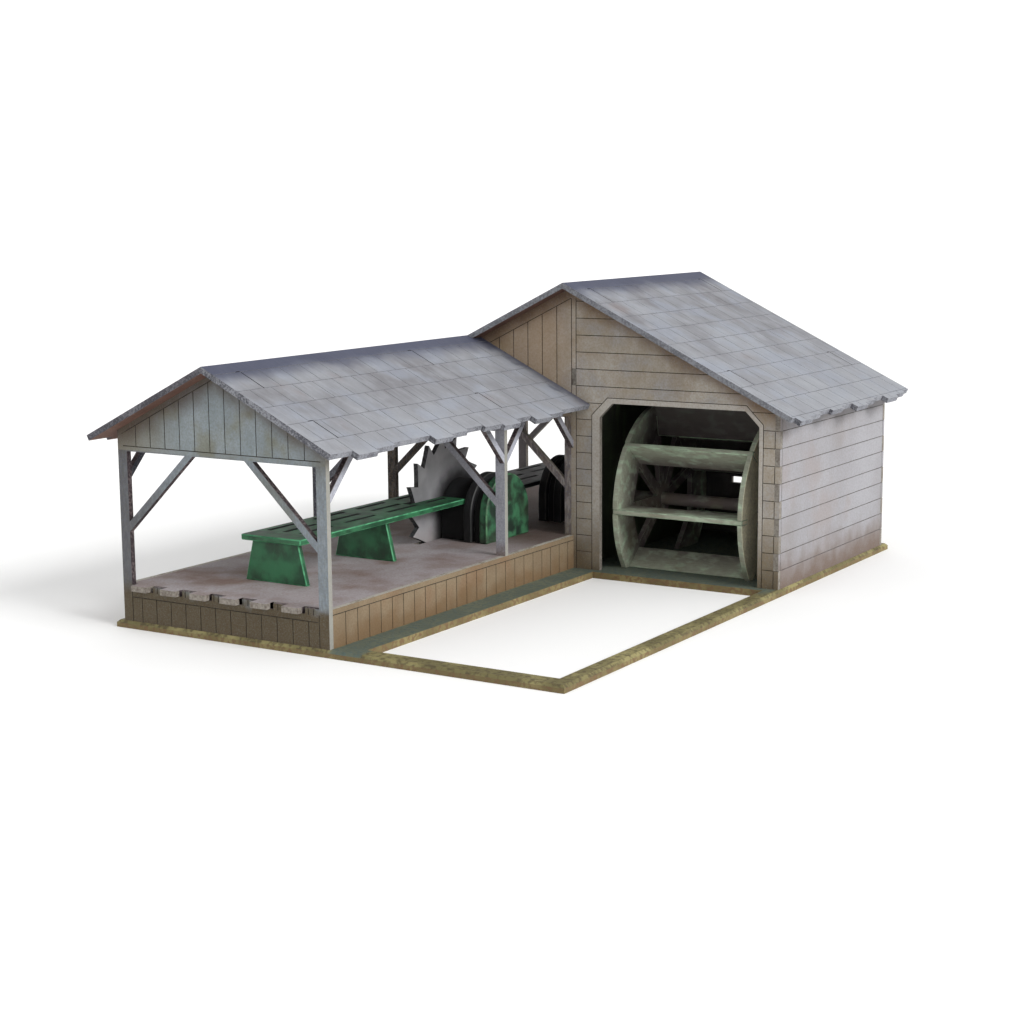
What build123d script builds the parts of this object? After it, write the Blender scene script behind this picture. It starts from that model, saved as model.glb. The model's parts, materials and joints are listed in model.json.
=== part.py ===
from build123d import *
from math import atan, cos, radians, sin
import os

os.makedirs("parts", exist_ok=True)

# Tabletop model of a water-powered sawmill, made of flat sheets slotted together.
# Millimetres. Origin at the middle of the underside of the base plate,
# +X to the right along the front, +Y into the depth, +Z up.

# Sheet stock
sheet = 2.0
base_thickness = 2.5

# Base plate and pond
base_width = 180.0
base_depth = 270.0
base_bevel = 0.9
pond_left_ledge = 10.5
pond_right_strip = 5.6
pond_front_strip = 7.0
pond_back_ledge = 3.4

# Plan of the walls, as insets from the base plate and widths
left_inset = 3.0
front_inset = 1.0
right_inset = 1.0
back_inset = 5.0
shed_past_middle = 1.0
block_length = 106.0
middle_frame_to_block = 50.7

# Heights above the base plate
board_pitch = 6.5
first_board = 7.0
floor_underside = 11.0
beam_underside = 59.4
plate_height = 66.4
rail_height = 3.7
rail_drop = 0.7

# Frames
post_width = 4.0
brace_run = 26.0
brace_rise = 24.5
brace_width = 3.4
knee_run = 10.8
knee_rise = 11.4
knee_width = 3.0

# Roofs
roof_slope = 0.49
shed_overhang_front = 7.0
block_overhang = 6.5
eave_overhang = 7.5

# Shingle courses, uneven along the eaves: short, middling and long
course_length = 11.03
shed_ridge_strip_width = 5.8
block_ridge_strip_width = 6.3
tile_width = 10.95
least_tile_width = 2.0
shed_end_tile_width = 11.5
block_end_tile_width = 2.3
middling_tile_extra_length = 1.3
long_tile_extra_length = 2.8
shed_eave_tiles = "SLMSSLMSMLSLMSS"
block_eave_tiles = "SLMSMSLMSLMS"

# Roof formers, whose tabs fill slots in the slopes
shed_tab_row_numbers = (0, 3)
block_tab_row_numbers = (0, 6)
shed_former_gap = 2.3
block_former_front_gap = 1.2
block_former_back_gap = 2.5

# Platform floor and its plank tabs through the front frame
tab_inset = 5.3
tab_width = 6.9
tab_pitch = 13.15
tab_count = 6
tab_proud = 2.0
blade_slot_clearance = 0.4

# Wheel house opening
opening_left_jamb = 11.6
opening_right_jamb = 8.4
opening_height = 65.7
opening_chamfer = 5.6
back_hole_width = 4.8
back_hole_height = 2.8
back_hole_x = 21.6
back_hole_z = 23.0
inner_wall_offset = 0.7
inner_wall_tab_row = 11
inner_wall_tab_recess = 0.6

# Water wheel
wheel_radius = 39.5
wheel_rim_width = 12.7
wheel_cut_off = 16.3
wheel_front_gap = 0.6
wheel_left_gap = 16.0
wheel_right_gap = 14.0
paddle_step = 40.0
paddle_tab = 5.0
spoke_width = 4.0
hub_radius = 6.0
axle_radius = 2.5
fit_gap = 0.1

# Saw
blade_radius = 25.3
blade_thickness = 2.0
blade_teeth = 16
blade_turn = 3.5
tooth_depth = 5.0
tooth_hook = 3.0
tooth_belly = 1.4
saw_inset = 46.0
saw_to_block = 27.0
saw_height = 27.4

# Drive housings: arch-topped stacks with a recess between their outer plates
housing_to_block = 18.5
housing_arch_height = 22.9
housing_radius = 15.6
drum_radius = 12.6
drum_gap = 0.3
housing_inset = 59.6
housing_plate = 3.6
housing_core = 3.6
housing_recess = 2.0

# Saw benches
bench_width = 26.0
bench_height = 16.5
bench_to_front = 24.0
bench_to_block = 30.4
bench_leg_top = 20.0
bench_leg_bottom = 27.0
bench_leg_set_in = 2.5
bench_leg_spacing = 51.5
rear_bench_behind_front = 7.0
rear_bench_length = 80.0
rear_housing_behind_front = 37.5
bench_slot_width = 1.4
bench_slot_length = 17.5
bench_slot_pitch = 25.8
bench_slot_first = 11.0
bench_slot_end = 3.2
bench_row_pitch = 7.1
bench_row_first = 3.6

# Places worked out from the sizes above
x_left = -base_width / 2 + left_inset
x_right = base_width / 2 - right_inset
block_width = x_right - x_left
shed_width = block_width / 2 + shed_past_middle
x_shed = x_left + shed_width
y_front = -base_depth / 2 + front_inset
y_back = base_depth / 2 - back_inset
y_block = y_back - block_length
y_middle = y_block - middle_frame_to_block
z_base = base_thickness
z_floor_under = z_base + floor_underside
z_floor = z_floor_under + sheet
z_beam = z_base + beam_underside
z_plate = z_base + plate_height
z_rail = z_plate - rail_drop
x_inner_wall = x_shed - inner_wall_offset
roof_angle = atan(roof_slope)
roof_rise = sheet / cos(roof_angle)
x_shed_ridge = (x_left + x_shed) / 2
x_block_ridge = x_left + block_width / 2
z_shed_ridge = z_plate + roof_slope * shed_width / 2 + roof_rise
z_block_ridge = z_plate + roof_slope * block_width / 2 + roof_rise
x_saw = x_left + saw_inset
y_saw = y_block - saw_to_block
z_saw = z_base + saw_height
x_housing = x_left + housing_inset
y_housing = y_block - housing_to_block
z_housing = z_base + housing_arch_height
tile_extras = {"S": 0.0, "M": middling_tile_extra_length, "L": long_tile_extra_length}
y_shed_formers = (y_front + sheet + shed_former_gap, y_middle - shed_former_gap - sheet)
y_block_formers = (
    y_block + sheet + block_former_front_gap, y_back - 2 * sheet - block_former_back_gap)


def outline(*points):
    """A flat face with straight sides through the points."""
    return make_face(Polyline(*points, close=True))


def panel(u0, u1, v0, v1):
    """A rectangular face between two corners."""
    return outline((u0, v0), (u1, v0), (u1, v1), (u0, v1))


def cross_sheet(face, y, thickness=sheet):
    """A sheet across the building, drawn in X and Z, its front face at y."""
    plane = Plane(origin=(0, y, 0), x_dir=(1, 0, 0), z_dir=(0, -1, 0))
    return extrude(plane * face, -thickness)


def long_sheet(face, x, thickness=sheet):
    """A sheet along the building, drawn in Y and Z, its left face at x."""
    plane = Plane(origin=(x, 0, 0), x_dir=(0, 1, 0), z_dir=(1, 0, 0))
    return extrude(plane * face, thickness)


def flat_sheet(face, z, thickness=sheet):
    """A level sheet, drawn in X and Y, its underside at z."""
    return extrude(Plane.XY.offset(z) * face, thickness)


def roof_underside(x, x_ridge, z_ridge):
    """Height of the roof sheet's underside at x."""
    return z_ridge - roof_rise - roof_slope * abs(x - x_ridge)


def frame_braces(x0, x1, z1):
    """Two braces from the posts at x0 and x1 up to a beam whose underside is at z1."""
    foot = z1 - brace_rise
    far = brace_run + brace_width
    left = outline((x0, foot), (x0 + brace_run, z1), (x0 + far, z1), (x0, foot - brace_width))
    right = outline((x1, foot), (x1 - brace_run, z1), (x1 - far, z1), (x1, foot - brace_width))
    return left + right


def frame_opening(z0):
    """The open bay of a shed frame between its posts, with the two braces left in."""
    bay = panel(x_left + post_width, x_shed - post_width, z0, z_beam)
    return bay - frame_braces(x_left + post_width, x_shed - post_width, z_beam)


def shed_gable(z0):
    """The outline of a shed frame from z0 up to the underside of the roof."""
    peak = roof_underside(x_shed_ridge, x_shed_ridge, z_shed_ridge)
    return outline(
        (x_left, z0), (x_shed, z0), (x_shed, z_plate), (x_shed_ridge, peak), (x_left, z_plate))


def block_gable(z0):
    """The outline of a full-width wall of the taller block."""
    peak = roof_underside(x_block_ridge, x_block_ridge, z_block_ridge)
    return outline(
        (x_left, z0), (x_right, z0), (x_right, z_plate), (x_block_ridge, peak), (x_left, z_plate))


def board_row(number):
    """The lower and upper edge of a row of wall boards, counted from row 0 on the base."""
    high = z_base + first_board + number * board_pitch
    return (high - board_pitch if number else z_base, high)


def finger_rows():
    """The edges of every second board row, where the side wall comes through the others."""
    rows = []
    number = 1
    while board_row(number)[0] < z_plate:
        low, high = board_row(number)
        rows.append((low, min(high, z_plate)))
        number += 2
    return rows


def base_plate():
    """The base sheet with the pond cut through it and its outer top edges bevelled."""
    plate = Box(base_width, base_depth, base_thickness, align=(Align.CENTER, Align.CENTER, Align.MIN))
    top_edges = plate.faces().sort_by(Axis.Z)[-1].edges()
    plate = chamfer(top_edges, base_bevel)
    pond = panel(x_shed + pond_left_ledge, base_width / 2 - pond_right_strip,
                 -base_depth / 2 + pond_front_strip, y_block - pond_back_ledge)
    return plate - flat_sheet(pond, 0, base_thickness)


def plank_tabs(y0, y1):
    """The plank ends that reach through the front frame, as level faces."""
    tabs = None
    for index in range(tab_count):
        x = x_left + tab_inset + index * tab_pitch
        tab = panel(x, x + tab_width, y0, y1)
        tabs = tab if tabs is None else tabs + tab
    return tabs


def platform_floor():
    """The platform floor between the skirts, with plank tabs in front and a slot for the blade."""
    floor = panel(x_left + sheet, x_shed - sheet, y_front + sheet, y_block)
    floor += panel(x_left + sheet, x_shed - post_width, y_block, y_block + sheet)
    floor += panel(x_left + sheet, x_inner_wall, y_block + sheet, y_back - sheet)
    floor += plank_tabs(y_front - tab_proud, y_front + sheet)
    half_slot = (blade_radius**2 - (z_floor_under - z_saw) ** 2) ** 0.5 + blade_slot_clearance
    slot_side = blade_thickness / 2 + blade_slot_clearance
    floor -= panel(x_saw - slot_side, x_saw + slot_side, y_saw - half_slot, y_saw + half_slot)
    return flat_sheet(floor, z_floor_under)


def front_frame():
    """The gable frame at the front of the shed."""
    face = shed_gable(z_base) - frame_opening(z_floor)
    return cross_sheet(face, y_front) - flat_sheet(plank_tabs(y_front, y_front + sheet), z_floor_under)


def middle_frame():
    """The frame across the middle of the shed, standing on the floor."""
    face = shed_gable(z_floor) - frame_opening(z_floor)
    return cross_sheet(face, y_middle)


def skirt(x):
    """A skirt board along the edge of the platform floor."""
    return long_sheet(panel(y_front + sheet, y_block, z_base, z_floor), x)


def left_skirt():
    """The left skirt, which runs on below the taller block."""
    return long_sheet(panel(y_front + sheet, y_back - sheet, z_base, z_floor), x_left)


def knee(y_post, direction):
    """A knee brace that rises from a post to the eave rail."""
    z_top = z_rail - rail_height
    foot = z_top - knee_rise
    return outline((y_post, foot), (y_post + direction * knee_run, z_top),
                   (y_post + direction * (knee_run + knee_width), z_top), (y_post, foot - knee_width))


def eave_rail(x, bays):
    """Eave rails between the frames with a knee brace at each end, one solid for each bay."""
    rail = None
    for y0, y1 in bays:
        face = panel(y0, y1, z_rail - rail_height, z_rail) + knee(y0, 1) + knee(y1, -1)
        bay = long_sheet(face, x)
        rail = bay if rail is None else rail + bay
    return rail


def block_front_wall():
    """The front wall of the taller block, open to the shed and to the wheel."""
    face = block_gable(z_base)
    face -= panel(x_left, x_shed - post_width, z_base, z_floor)
    face -= frame_opening(z_floor)
    left = x_shed + opening_left_jamb
    right = x_right - opening_right_jamb
    top = z_base + opening_height
    face -= outline(
        (left, z_base), (right, z_base), (right, top - opening_chamfer), (right - opening_chamfer, top),
        (left + opening_chamfer, top), (left, top - opening_chamfer))
    for low, high in finger_rows():
        face -= panel(x_right - sheet, x_right, low, high)
    face -= panel(x_inner_wall, x_inner_wall + sheet, *inner_wall_tab)
    return cross_sheet(face, y_block)


def block_back_wall():
    """The back wall, open on the left like the front frame and boarded on the right."""
    face = block_gable(z_base) - frame_opening(z_floor)
    x = x_shed + back_hole_x
    z = z_base + back_hole_z
    half_width = back_hole_width / 2
    half_height = back_hole_height / 2
    face -= panel(x - half_width, x + half_width, z - half_height, z + half_height)
    for low, high in finger_rows():
        face -= panel(x_right - sheet, x_right, low, high)
    face -= panel(x_inner_wall, x_inner_wall + sheet, *inner_wall_tab)
    return cross_sheet(face, y_back - sheet)


def wheel_house_side_wall():
    """The right-hand wall, with fingers through the front and back walls."""
    face = panel(y_block + sheet, y_back - sheet, z_base, z_plate)
    for low, high in finger_rows():
        face += panel(y_block, y_back, low, high)
    return long_sheet(face, x_right - sheet)


def wheel_house_inner_wall():
    """The wall between the shed and the wheel, slotted from above for the roof formers."""
    left = roof_underside(x_inner_wall, x_block_ridge, z_block_ridge)
    right = roof_underside(x_inner_wall + sheet, x_block_ridge, z_block_ridge)
    top = min(left, right)
    face = panel(y_block + sheet, y_back - sheet, z_base, top - fit_gap)
    face += panel(y_block + inner_wall_tab_recess, y_back - inner_wall_tab_recess, *inner_wall_tab)
    for y in y_block_formers:
        face -= panel(y - fit_gap, y + sheet + fit_gap, z_rail - fit_gap, top)
    wall = long_sheet(face, x_inner_wall)
    return wall - Pos(0, y_wheel, z_wheel) * Rot(0, 90, 0) * Cylinder(axle_radius, 2 * base_width)


def slope_area(x_ridge, z_ridge, side, s0, s1, t0, t1):
    """A face in X and Z between two distances down a slope and two depths under its top."""
    corners = []
    for s, t in ((s0, t0), (s1, t0), (s1, t1), (s0, t1)):
        x = x_ridge + side * (s * cos(roof_angle) - t * sin(roof_angle))
        corners.append((x, z_ridge - s * sin(roof_angle) - t * cos(roof_angle)))
    return outline(*corners)


def tab_areas(x_ridge, z_ridge, ridge_strip, courses, t0, t1):
    """The faces of a former's four tabs, or of their slots, between two depths."""
    areas = []
    for side in (-1, 1):
        for number in courses:
            start = ridge_strip + number * course_length
            areas.append(slope_area(x_ridge, z_ridge, side, start, start + course_length, t0, t1))
    return areas


def roof_panel(x_ridge, z_ridge, x_eave, y0, y1, tiles, end_tile, slots, formers):
    """One roof slope between y0 and y1, with an uneven eave and slots for the formers' tabs."""
    side = 1 if x_eave > x_ridge else -1
    short = abs(x_eave - x_ridge) / cos(roof_angle)
    reach = short + long_tile_extra_length
    drop = reach * sin(roof_angle)
    x_end = x_ridge + side * reach * cos(roof_angle)
    section = outline(
        (x_ridge, z_ridge), (x_end, z_ridge - drop),
        (x_end - side * sheet * sin(roof_angle), z_ridge - drop - sheet * cos(roof_angle)),
        (x_ridge, z_ridge - roof_rise))
    slope = cross_sheet(section, y0, y1 - y0)
    edges = [y0, y0 + end_tile]
    while edges[-1] + tile_width < y1 - least_tile_width:
        edges.append(edges[-1] + tile_width)
    edges.append(y1)
    for index, (low, high) in enumerate(zip(edges, edges[1:])):
        length = short + tile_extras[tiles[index % len(tiles)]]
        if length < reach:
            cut = slope_area(x_ridge, z_ridge, side, length, reach + sheet, -sheet, 2 * sheet)
            slope -= cross_sheet(cut, low, high - low)
    for area in slots:
        for y in formers:
            slope -= cross_sheet(area, y)
    return slope


def roof_former(x0, x1, x_ridge, z_ridge, y, tabs):
    """A triangular former under a roof, with tabs up through both slopes."""
    left = roof_underside(x0, x_ridge, z_ridge)
    right = roof_underside(x1, x_ridge, z_ridge)
    peak = roof_underside(x_ridge, x_ridge, z_ridge)
    face = outline((x0, z_rail), (x1, z_rail), (x1, right), (x_ridge, peak), (x0, left))
    for tab in tabs:
        face += tab
    return cross_sheet(face, y)


def wheel_disc(radius):
    """A round face about the wheel's axle, in Y and Z."""
    return Pos(y_wheel, z_wheel) * Circle(radius)


inner_wall_tab = board_row(inner_wall_tab_row)
x_wheel_left = x_shed + wheel_left_gap
wheel_width = x_right - sheet - wheel_right_gap - x_wheel_left
x_wheel_right = x_wheel_left + wheel_width - sheet
y_wheel = y_block + sheet + wheel_front_gap + wheel_radius
z_wheel = z_base + wheel_radius - wheel_cut_off
spoke_angles = [180 + paddle_step * index for index in range(-4, 2)]
paddle_angles = spoke_angles + [spoke_angles[0] - paddle_step]
below_base = panel(
    y_wheel - 2 * wheel_radius, y_wheel + 2 * wheel_radius, z_base - 2 * wheel_radius, z_base)


def on_spoke(face, angle):
    """A face drawn along the radius, turned about the axle."""
    return Pos(y_wheel, z_wheel) * Rot(0, 0, angle) * face


def wheel_rim(x):
    """One rim of the water wheel, its spokes and hub, cut level where it meets the base."""
    inner = wheel_radius - wheel_rim_width
    face = wheel_disc(wheel_radius)
    face -= Pos(y_wheel, z_wheel) * Rot(0, 0, paddle_step / 2) * RegularPolygon(inner, int(360 / paddle_step))
    for angle in spoke_angles:
        face += on_spoke(panel(0, inner, -spoke_width / 2, spoke_width / 2), angle)
    face += wheel_disc(hub_radius)
    face -= wheel_disc(axle_radius + fit_gap)
    for angle in paddle_angles:
        notch = panel(wheel_radius - paddle_tab, wheel_radius + sheet, -sheet / 2, sheet / 2)
        face -= on_spoke(notch, angle)
    face -= below_base
    return long_sheet(face, x)


def wheel_paddle(angle):
    """A paddle board between the rims, whose outer edge lies in a notch of each."""
    inner = wheel_radius - wheel_rim_width
    board = panel(inner, wheel_radius, -sheet / 2, sheet / 2)
    tab = panel(wheel_radius - paddle_tab, wheel_radius, -sheet / 2, sheet / 2)
    body = long_sheet(on_spoke(board, angle) - below_base, x_wheel_left + sheet, wheel_width - 2 * sheet)
    return body + long_sheet(on_spoke(tab, angle) - below_base, x_wheel_left, wheel_width)


def wheel_axle():
    """The axle, through the inner wall and up to the right-hand wall."""
    length = x_right - sheet - x_inner_wall
    return Pos(x_inner_wall, y_wheel, z_wheel) * Rot(0, 90, 0) * Cylinder(
        axle_radius, length, align=(Align.CENTER, Align.CENTER, Align.MIN))


def on_blade(radius, angle):
    """A point of the blade at a radius and an angle in degrees, in Y and Z."""
    return (y_saw + radius * cos(radians(angle)), z_saw + radius * sin(radians(angle)))


def saw_blade():
    """The circular blade, with a steep face and a rounded back to each tooth."""
    step = 360 / blade_teeth
    root_radius = blade_radius - tooth_depth
    edges = []
    for index in range(blade_teeth):
        tip = blade_turn + index * step
        root = on_blade(root_radius, tip + step - tooth_hook)
        belly = on_blade(root_radius + tooth_belly, tip + step / 2)
        edges.append(ThreePointArc(on_blade(blade_radius, tip), belly, root))
        edges.append(Line(root, on_blade(blade_radius, tip + step)))
    return long_sheet(make_face(edges), x_saw - blade_thickness / 2, blade_thickness)


def arch(radius):
    """An arch-topped face standing on the floor, in Y and Z."""
    left = y_housing - radius
    right = y_housing + radius
    top = ThreePointArc((right, z_housing), (y_housing, z_housing + radius), (left, z_housing))
    sides = Polyline((left, z_housing), (left, z_floor), (right, z_floor), (right, z_housing))
    return make_face([top, *sides.edges()])


def blade_guard():
    """The arch-topped drum between the blade and its drive."""
    x = x_saw + blade_thickness / 2 + drum_gap
    return long_sheet(arch(drum_radius), x, x_housing - x)


def housing_plate_left(y_shift=0):
    """The plate of a housing on the blade's side."""
    return long_sheet(arch(housing_radius), x_housing, housing_plate).moved(Location((0, y_shift, 0)))


def housing_plate_right(y_shift=0):
    """The plate of a housing on the outer side."""
    x = x_housing + housing_plate + housing_core
    return long_sheet(arch(housing_radius), x, housing_plate).moved(Location((0, y_shift, 0)))


def housing_inside(y_shift=0):
    """The narrower core between the two plates of a housing."""
    core = long_sheet(arch(housing_radius - housing_recess), x_housing + housing_plate, housing_core)
    return core.moved(Location((0, y_shift, 0)))


def bench_top(y0, length):
    """A bench top, its front edge at y0, with rows of slots and room for the blade."""
    top = panel(x_saw - bench_width / 2, x_saw + bench_width / 2, y0, y0 + length)
    blade_front = y_saw - blade_radius - blade_slot_clearance
    blade_back = y_saw + blade_radius + blade_slot_clearance
    slot_side = blade_thickness / 2 + blade_slot_clearance
    if y0 < blade_back:
        top -= panel(x_saw - slot_side, x_saw + slot_side, blade_front, blade_back)
    for row in range(3):
        x = x_saw - bench_width / 2 + bench_row_first + row * bench_row_pitch
        beside_blade = abs(x - x_saw) < slot_side + bench_slot_width
        start = y0 + bench_slot_first
        while start + bench_slot_width < y0 + length - bench_slot_end:
            end = min(start + bench_slot_length, y0 + length - bench_slot_end)
            if not (beside_blade and end > blade_front and start < blade_back):
                top -= panel(x - bench_slot_width / 2, x + bench_slot_width / 2, start, end)
            start += bench_slot_pitch
    return flat_sheet(top, z_floor + bench_height - sheet)


def bench_leg(y):
    """A trestle board, wider at its foot, under a bench."""
    z_top = z_floor + bench_height - sheet
    half_top = bench_leg_top / 2
    half_foot = bench_leg_bottom / 2
    face = outline(
        (x_saw - half_foot, z_floor), (x_saw + half_foot, z_floor), (x_saw + half_top, z_top),
        (x_saw - half_top, z_top))
    return cross_sheet(face, y)


shed_eave = x_shed + eave_overhang
left_eave = x_left - eave_overhang
block_eave = x_right + eave_overhang
y_block_roof = y_block - block_overhang
y_roof_end = y_back + block_overhang
y_shed_roof = y_front - shed_overhang_front
shed_rows = (x_shed_ridge, z_shed_ridge, shed_ridge_strip_width, shed_tab_row_numbers)
block_rows = (x_block_ridge, z_block_ridge, block_ridge_strip_width, block_tab_row_numbers)
shed_tabs = tab_areas(*shed_rows, 0, sheet + fit_gap)
shed_slots = tab_areas(*shed_rows, -sheet, 2 * sheet)
block_tabs = tab_areas(*block_rows, 0, sheet + fit_gap)
block_slots = tab_areas(*block_rows, -sheet, 2 * sheet)
shed_roof_rest = (shed_eave_tiles, shed_end_tile_width, shed_slots, y_shed_formers)
block_roof_rest = (block_eave_tiles, block_end_tile_width, block_slots, y_block_formers)
block_roof_left = roof_panel(
    x_block_ridge, z_block_ridge, left_eave, y_block_roof, y_roof_end, *block_roof_rest)
shed_bays = [(y_front + sheet, y_middle), (y_middle + sheet, y_block)]
block_bay = (y_block + sheet, y_back - sheet)
y_bench = y_front + bench_to_front
bench_length = y_block - bench_to_block - y_bench
y_rear_bench = y_block + rear_bench_behind_front
rear_housing_shift = housing_to_block + rear_housing_behind_front


def shed_former(y):
    """A former under the shed roof, resting on the eave rails."""
    return roof_former(x_left, x_shed, x_shed_ridge, z_shed_ridge, y, shed_tabs)


def block_former(y):
    """A former under the block's roof, between its side walls."""
    return roof_former(x_left + sheet, x_right - sheet, x_block_ridge, z_block_ridge, y, block_tabs)


parts = {
    "base_plate": base_plate(),
    "platform_floor": platform_floor(),
    "front_frame": front_frame(),
    "middle_frame": middle_frame(),
    "right_skirt": skirt(x_shed - sheet),
    "left_skirt": left_skirt(),
    "right_eave_rail": eave_rail(x_shed - sheet, shed_bays),
    "left_eave_rail": eave_rail(x_left, shed_bays + [block_bay]),
    "block_front_wall": block_front_wall(),
    "block_back_wall": block_back_wall(),
    "wheel_house_side_wall": wheel_house_side_wall(),
    "wheel_house_inner_wall": wheel_house_inner_wall(),
    "shed_roof_left": roof_panel(
        x_shed_ridge, z_shed_ridge, left_eave, y_shed_roof, y_block_roof, *shed_roof_rest),
    "shed_roof_right": roof_panel(
        x_shed_ridge, z_shed_ridge, shed_eave, y_shed_roof, y_block, *shed_roof_rest) - block_roof_left,
    "block_roof_left": block_roof_left,
    "block_roof_right": roof_panel(
        x_block_ridge, z_block_ridge, block_eave, y_block_roof, y_roof_end, *block_roof_rest),
    "shed_former_front": shed_former(y_shed_formers[0]),
    "shed_former_rear": shed_former(y_shed_formers[1]),
    "block_former_front": block_former(y_block_formers[0]),
    "block_former_rear": block_former(y_block_formers[1]),
    "wheel_rim_left": wheel_rim(x_wheel_left),
    "wheel_rim_right": wheel_rim(x_wheel_right),
    "wheel_axle": wheel_axle(),
    "saw_blade": saw_blade(),
    "blade_guard": blade_guard(),
    "drive_housing": housing_inside(),
    "drive_plate_left": housing_plate_left(),
    "drive_plate_right": housing_plate_right(),
    "rear_housing": housing_inside(rear_housing_shift),
    "rear_plate_left": housing_plate_left(rear_housing_shift),
    "rear_plate_right": housing_plate_right(rear_housing_shift),
    "saw_bench_top": bench_top(y_bench, bench_length),
    "saw_bench_leg_front": bench_leg(y_bench + bench_leg_set_in),
    "saw_bench_leg_rear": bench_leg(y_bench + bench_leg_set_in + bench_leg_spacing),
    "rear_bench_top": bench_top(y_rear_bench, rear_bench_length),
    "rear_bench_leg_front": bench_leg(y_rear_bench + bench_leg_set_in),
    "rear_bench_leg_rear": bench_leg(y_rear_bench + rear_bench_length - bench_leg_set_in - sheet),
}
for number, angle in enumerate(paddle_angles, start=1):
    parts[f"wheel_paddle_{number}"] = wheel_paddle(angle)

for name, shape in parts.items():
    export_step(shape, f"parts/{name}.step")
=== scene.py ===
"""Looks of the tabletop sawmill: painted and weathered sheets with engraved boards and shingles."""

import json
import logging
import math
from dataclasses import dataclass, replace
from enum import Enum
from typing import Any, Optional, Sequence, Union

import bmesh
import bpy
from mathutils import Matrix, Vector

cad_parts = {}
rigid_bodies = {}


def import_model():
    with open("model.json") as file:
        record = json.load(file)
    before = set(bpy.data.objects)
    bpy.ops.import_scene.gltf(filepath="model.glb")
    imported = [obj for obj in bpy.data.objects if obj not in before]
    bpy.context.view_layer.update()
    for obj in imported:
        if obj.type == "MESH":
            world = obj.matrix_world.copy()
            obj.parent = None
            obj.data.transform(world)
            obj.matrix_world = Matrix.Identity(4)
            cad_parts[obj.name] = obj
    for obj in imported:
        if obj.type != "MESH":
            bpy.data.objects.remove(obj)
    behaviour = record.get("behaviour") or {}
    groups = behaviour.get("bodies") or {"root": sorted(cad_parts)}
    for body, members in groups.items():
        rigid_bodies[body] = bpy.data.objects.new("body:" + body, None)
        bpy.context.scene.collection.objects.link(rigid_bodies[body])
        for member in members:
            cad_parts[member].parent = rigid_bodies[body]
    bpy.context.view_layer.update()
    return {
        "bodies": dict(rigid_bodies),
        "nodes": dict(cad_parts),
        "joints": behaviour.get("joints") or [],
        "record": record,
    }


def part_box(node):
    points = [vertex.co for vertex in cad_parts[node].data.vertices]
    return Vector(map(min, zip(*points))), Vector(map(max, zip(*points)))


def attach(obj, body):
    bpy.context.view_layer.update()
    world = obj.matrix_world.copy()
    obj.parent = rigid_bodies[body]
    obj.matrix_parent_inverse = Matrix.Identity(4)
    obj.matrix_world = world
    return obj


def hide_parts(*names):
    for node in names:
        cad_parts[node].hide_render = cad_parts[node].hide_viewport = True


LOG = logging.getLogger("sawmill")
MM = 0.001
ROOF_SLOPE = 0.49
LINE_DEPTH = 0.25 * MM
MERGE_DISTANCE = 0.002 * MM
FLAT_ANGLE = math.radians(0.5)
FRAME: dict[str, Any] = {}

Colour = tuple[float, float, float]
Triple = tuple[float, float, float]
Operand = Union["Sig", float, int]


def srgb(red: int, green: int, blue: int) -> Colour:
    """Linear colour of a paint named by its red, green and blue from 0 to 255.

    Args:
        red: red share.
        green: green share.
        blue: blue share.

    Returns:
        The linear colour.
    """
    shares = (value / 255 for value in (red, green, blue))
    return tuple(s / 12.92 if s <= 0.04045 else ((s + 0.055) / 1.055) ** 2.4 for s in shares)


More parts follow.
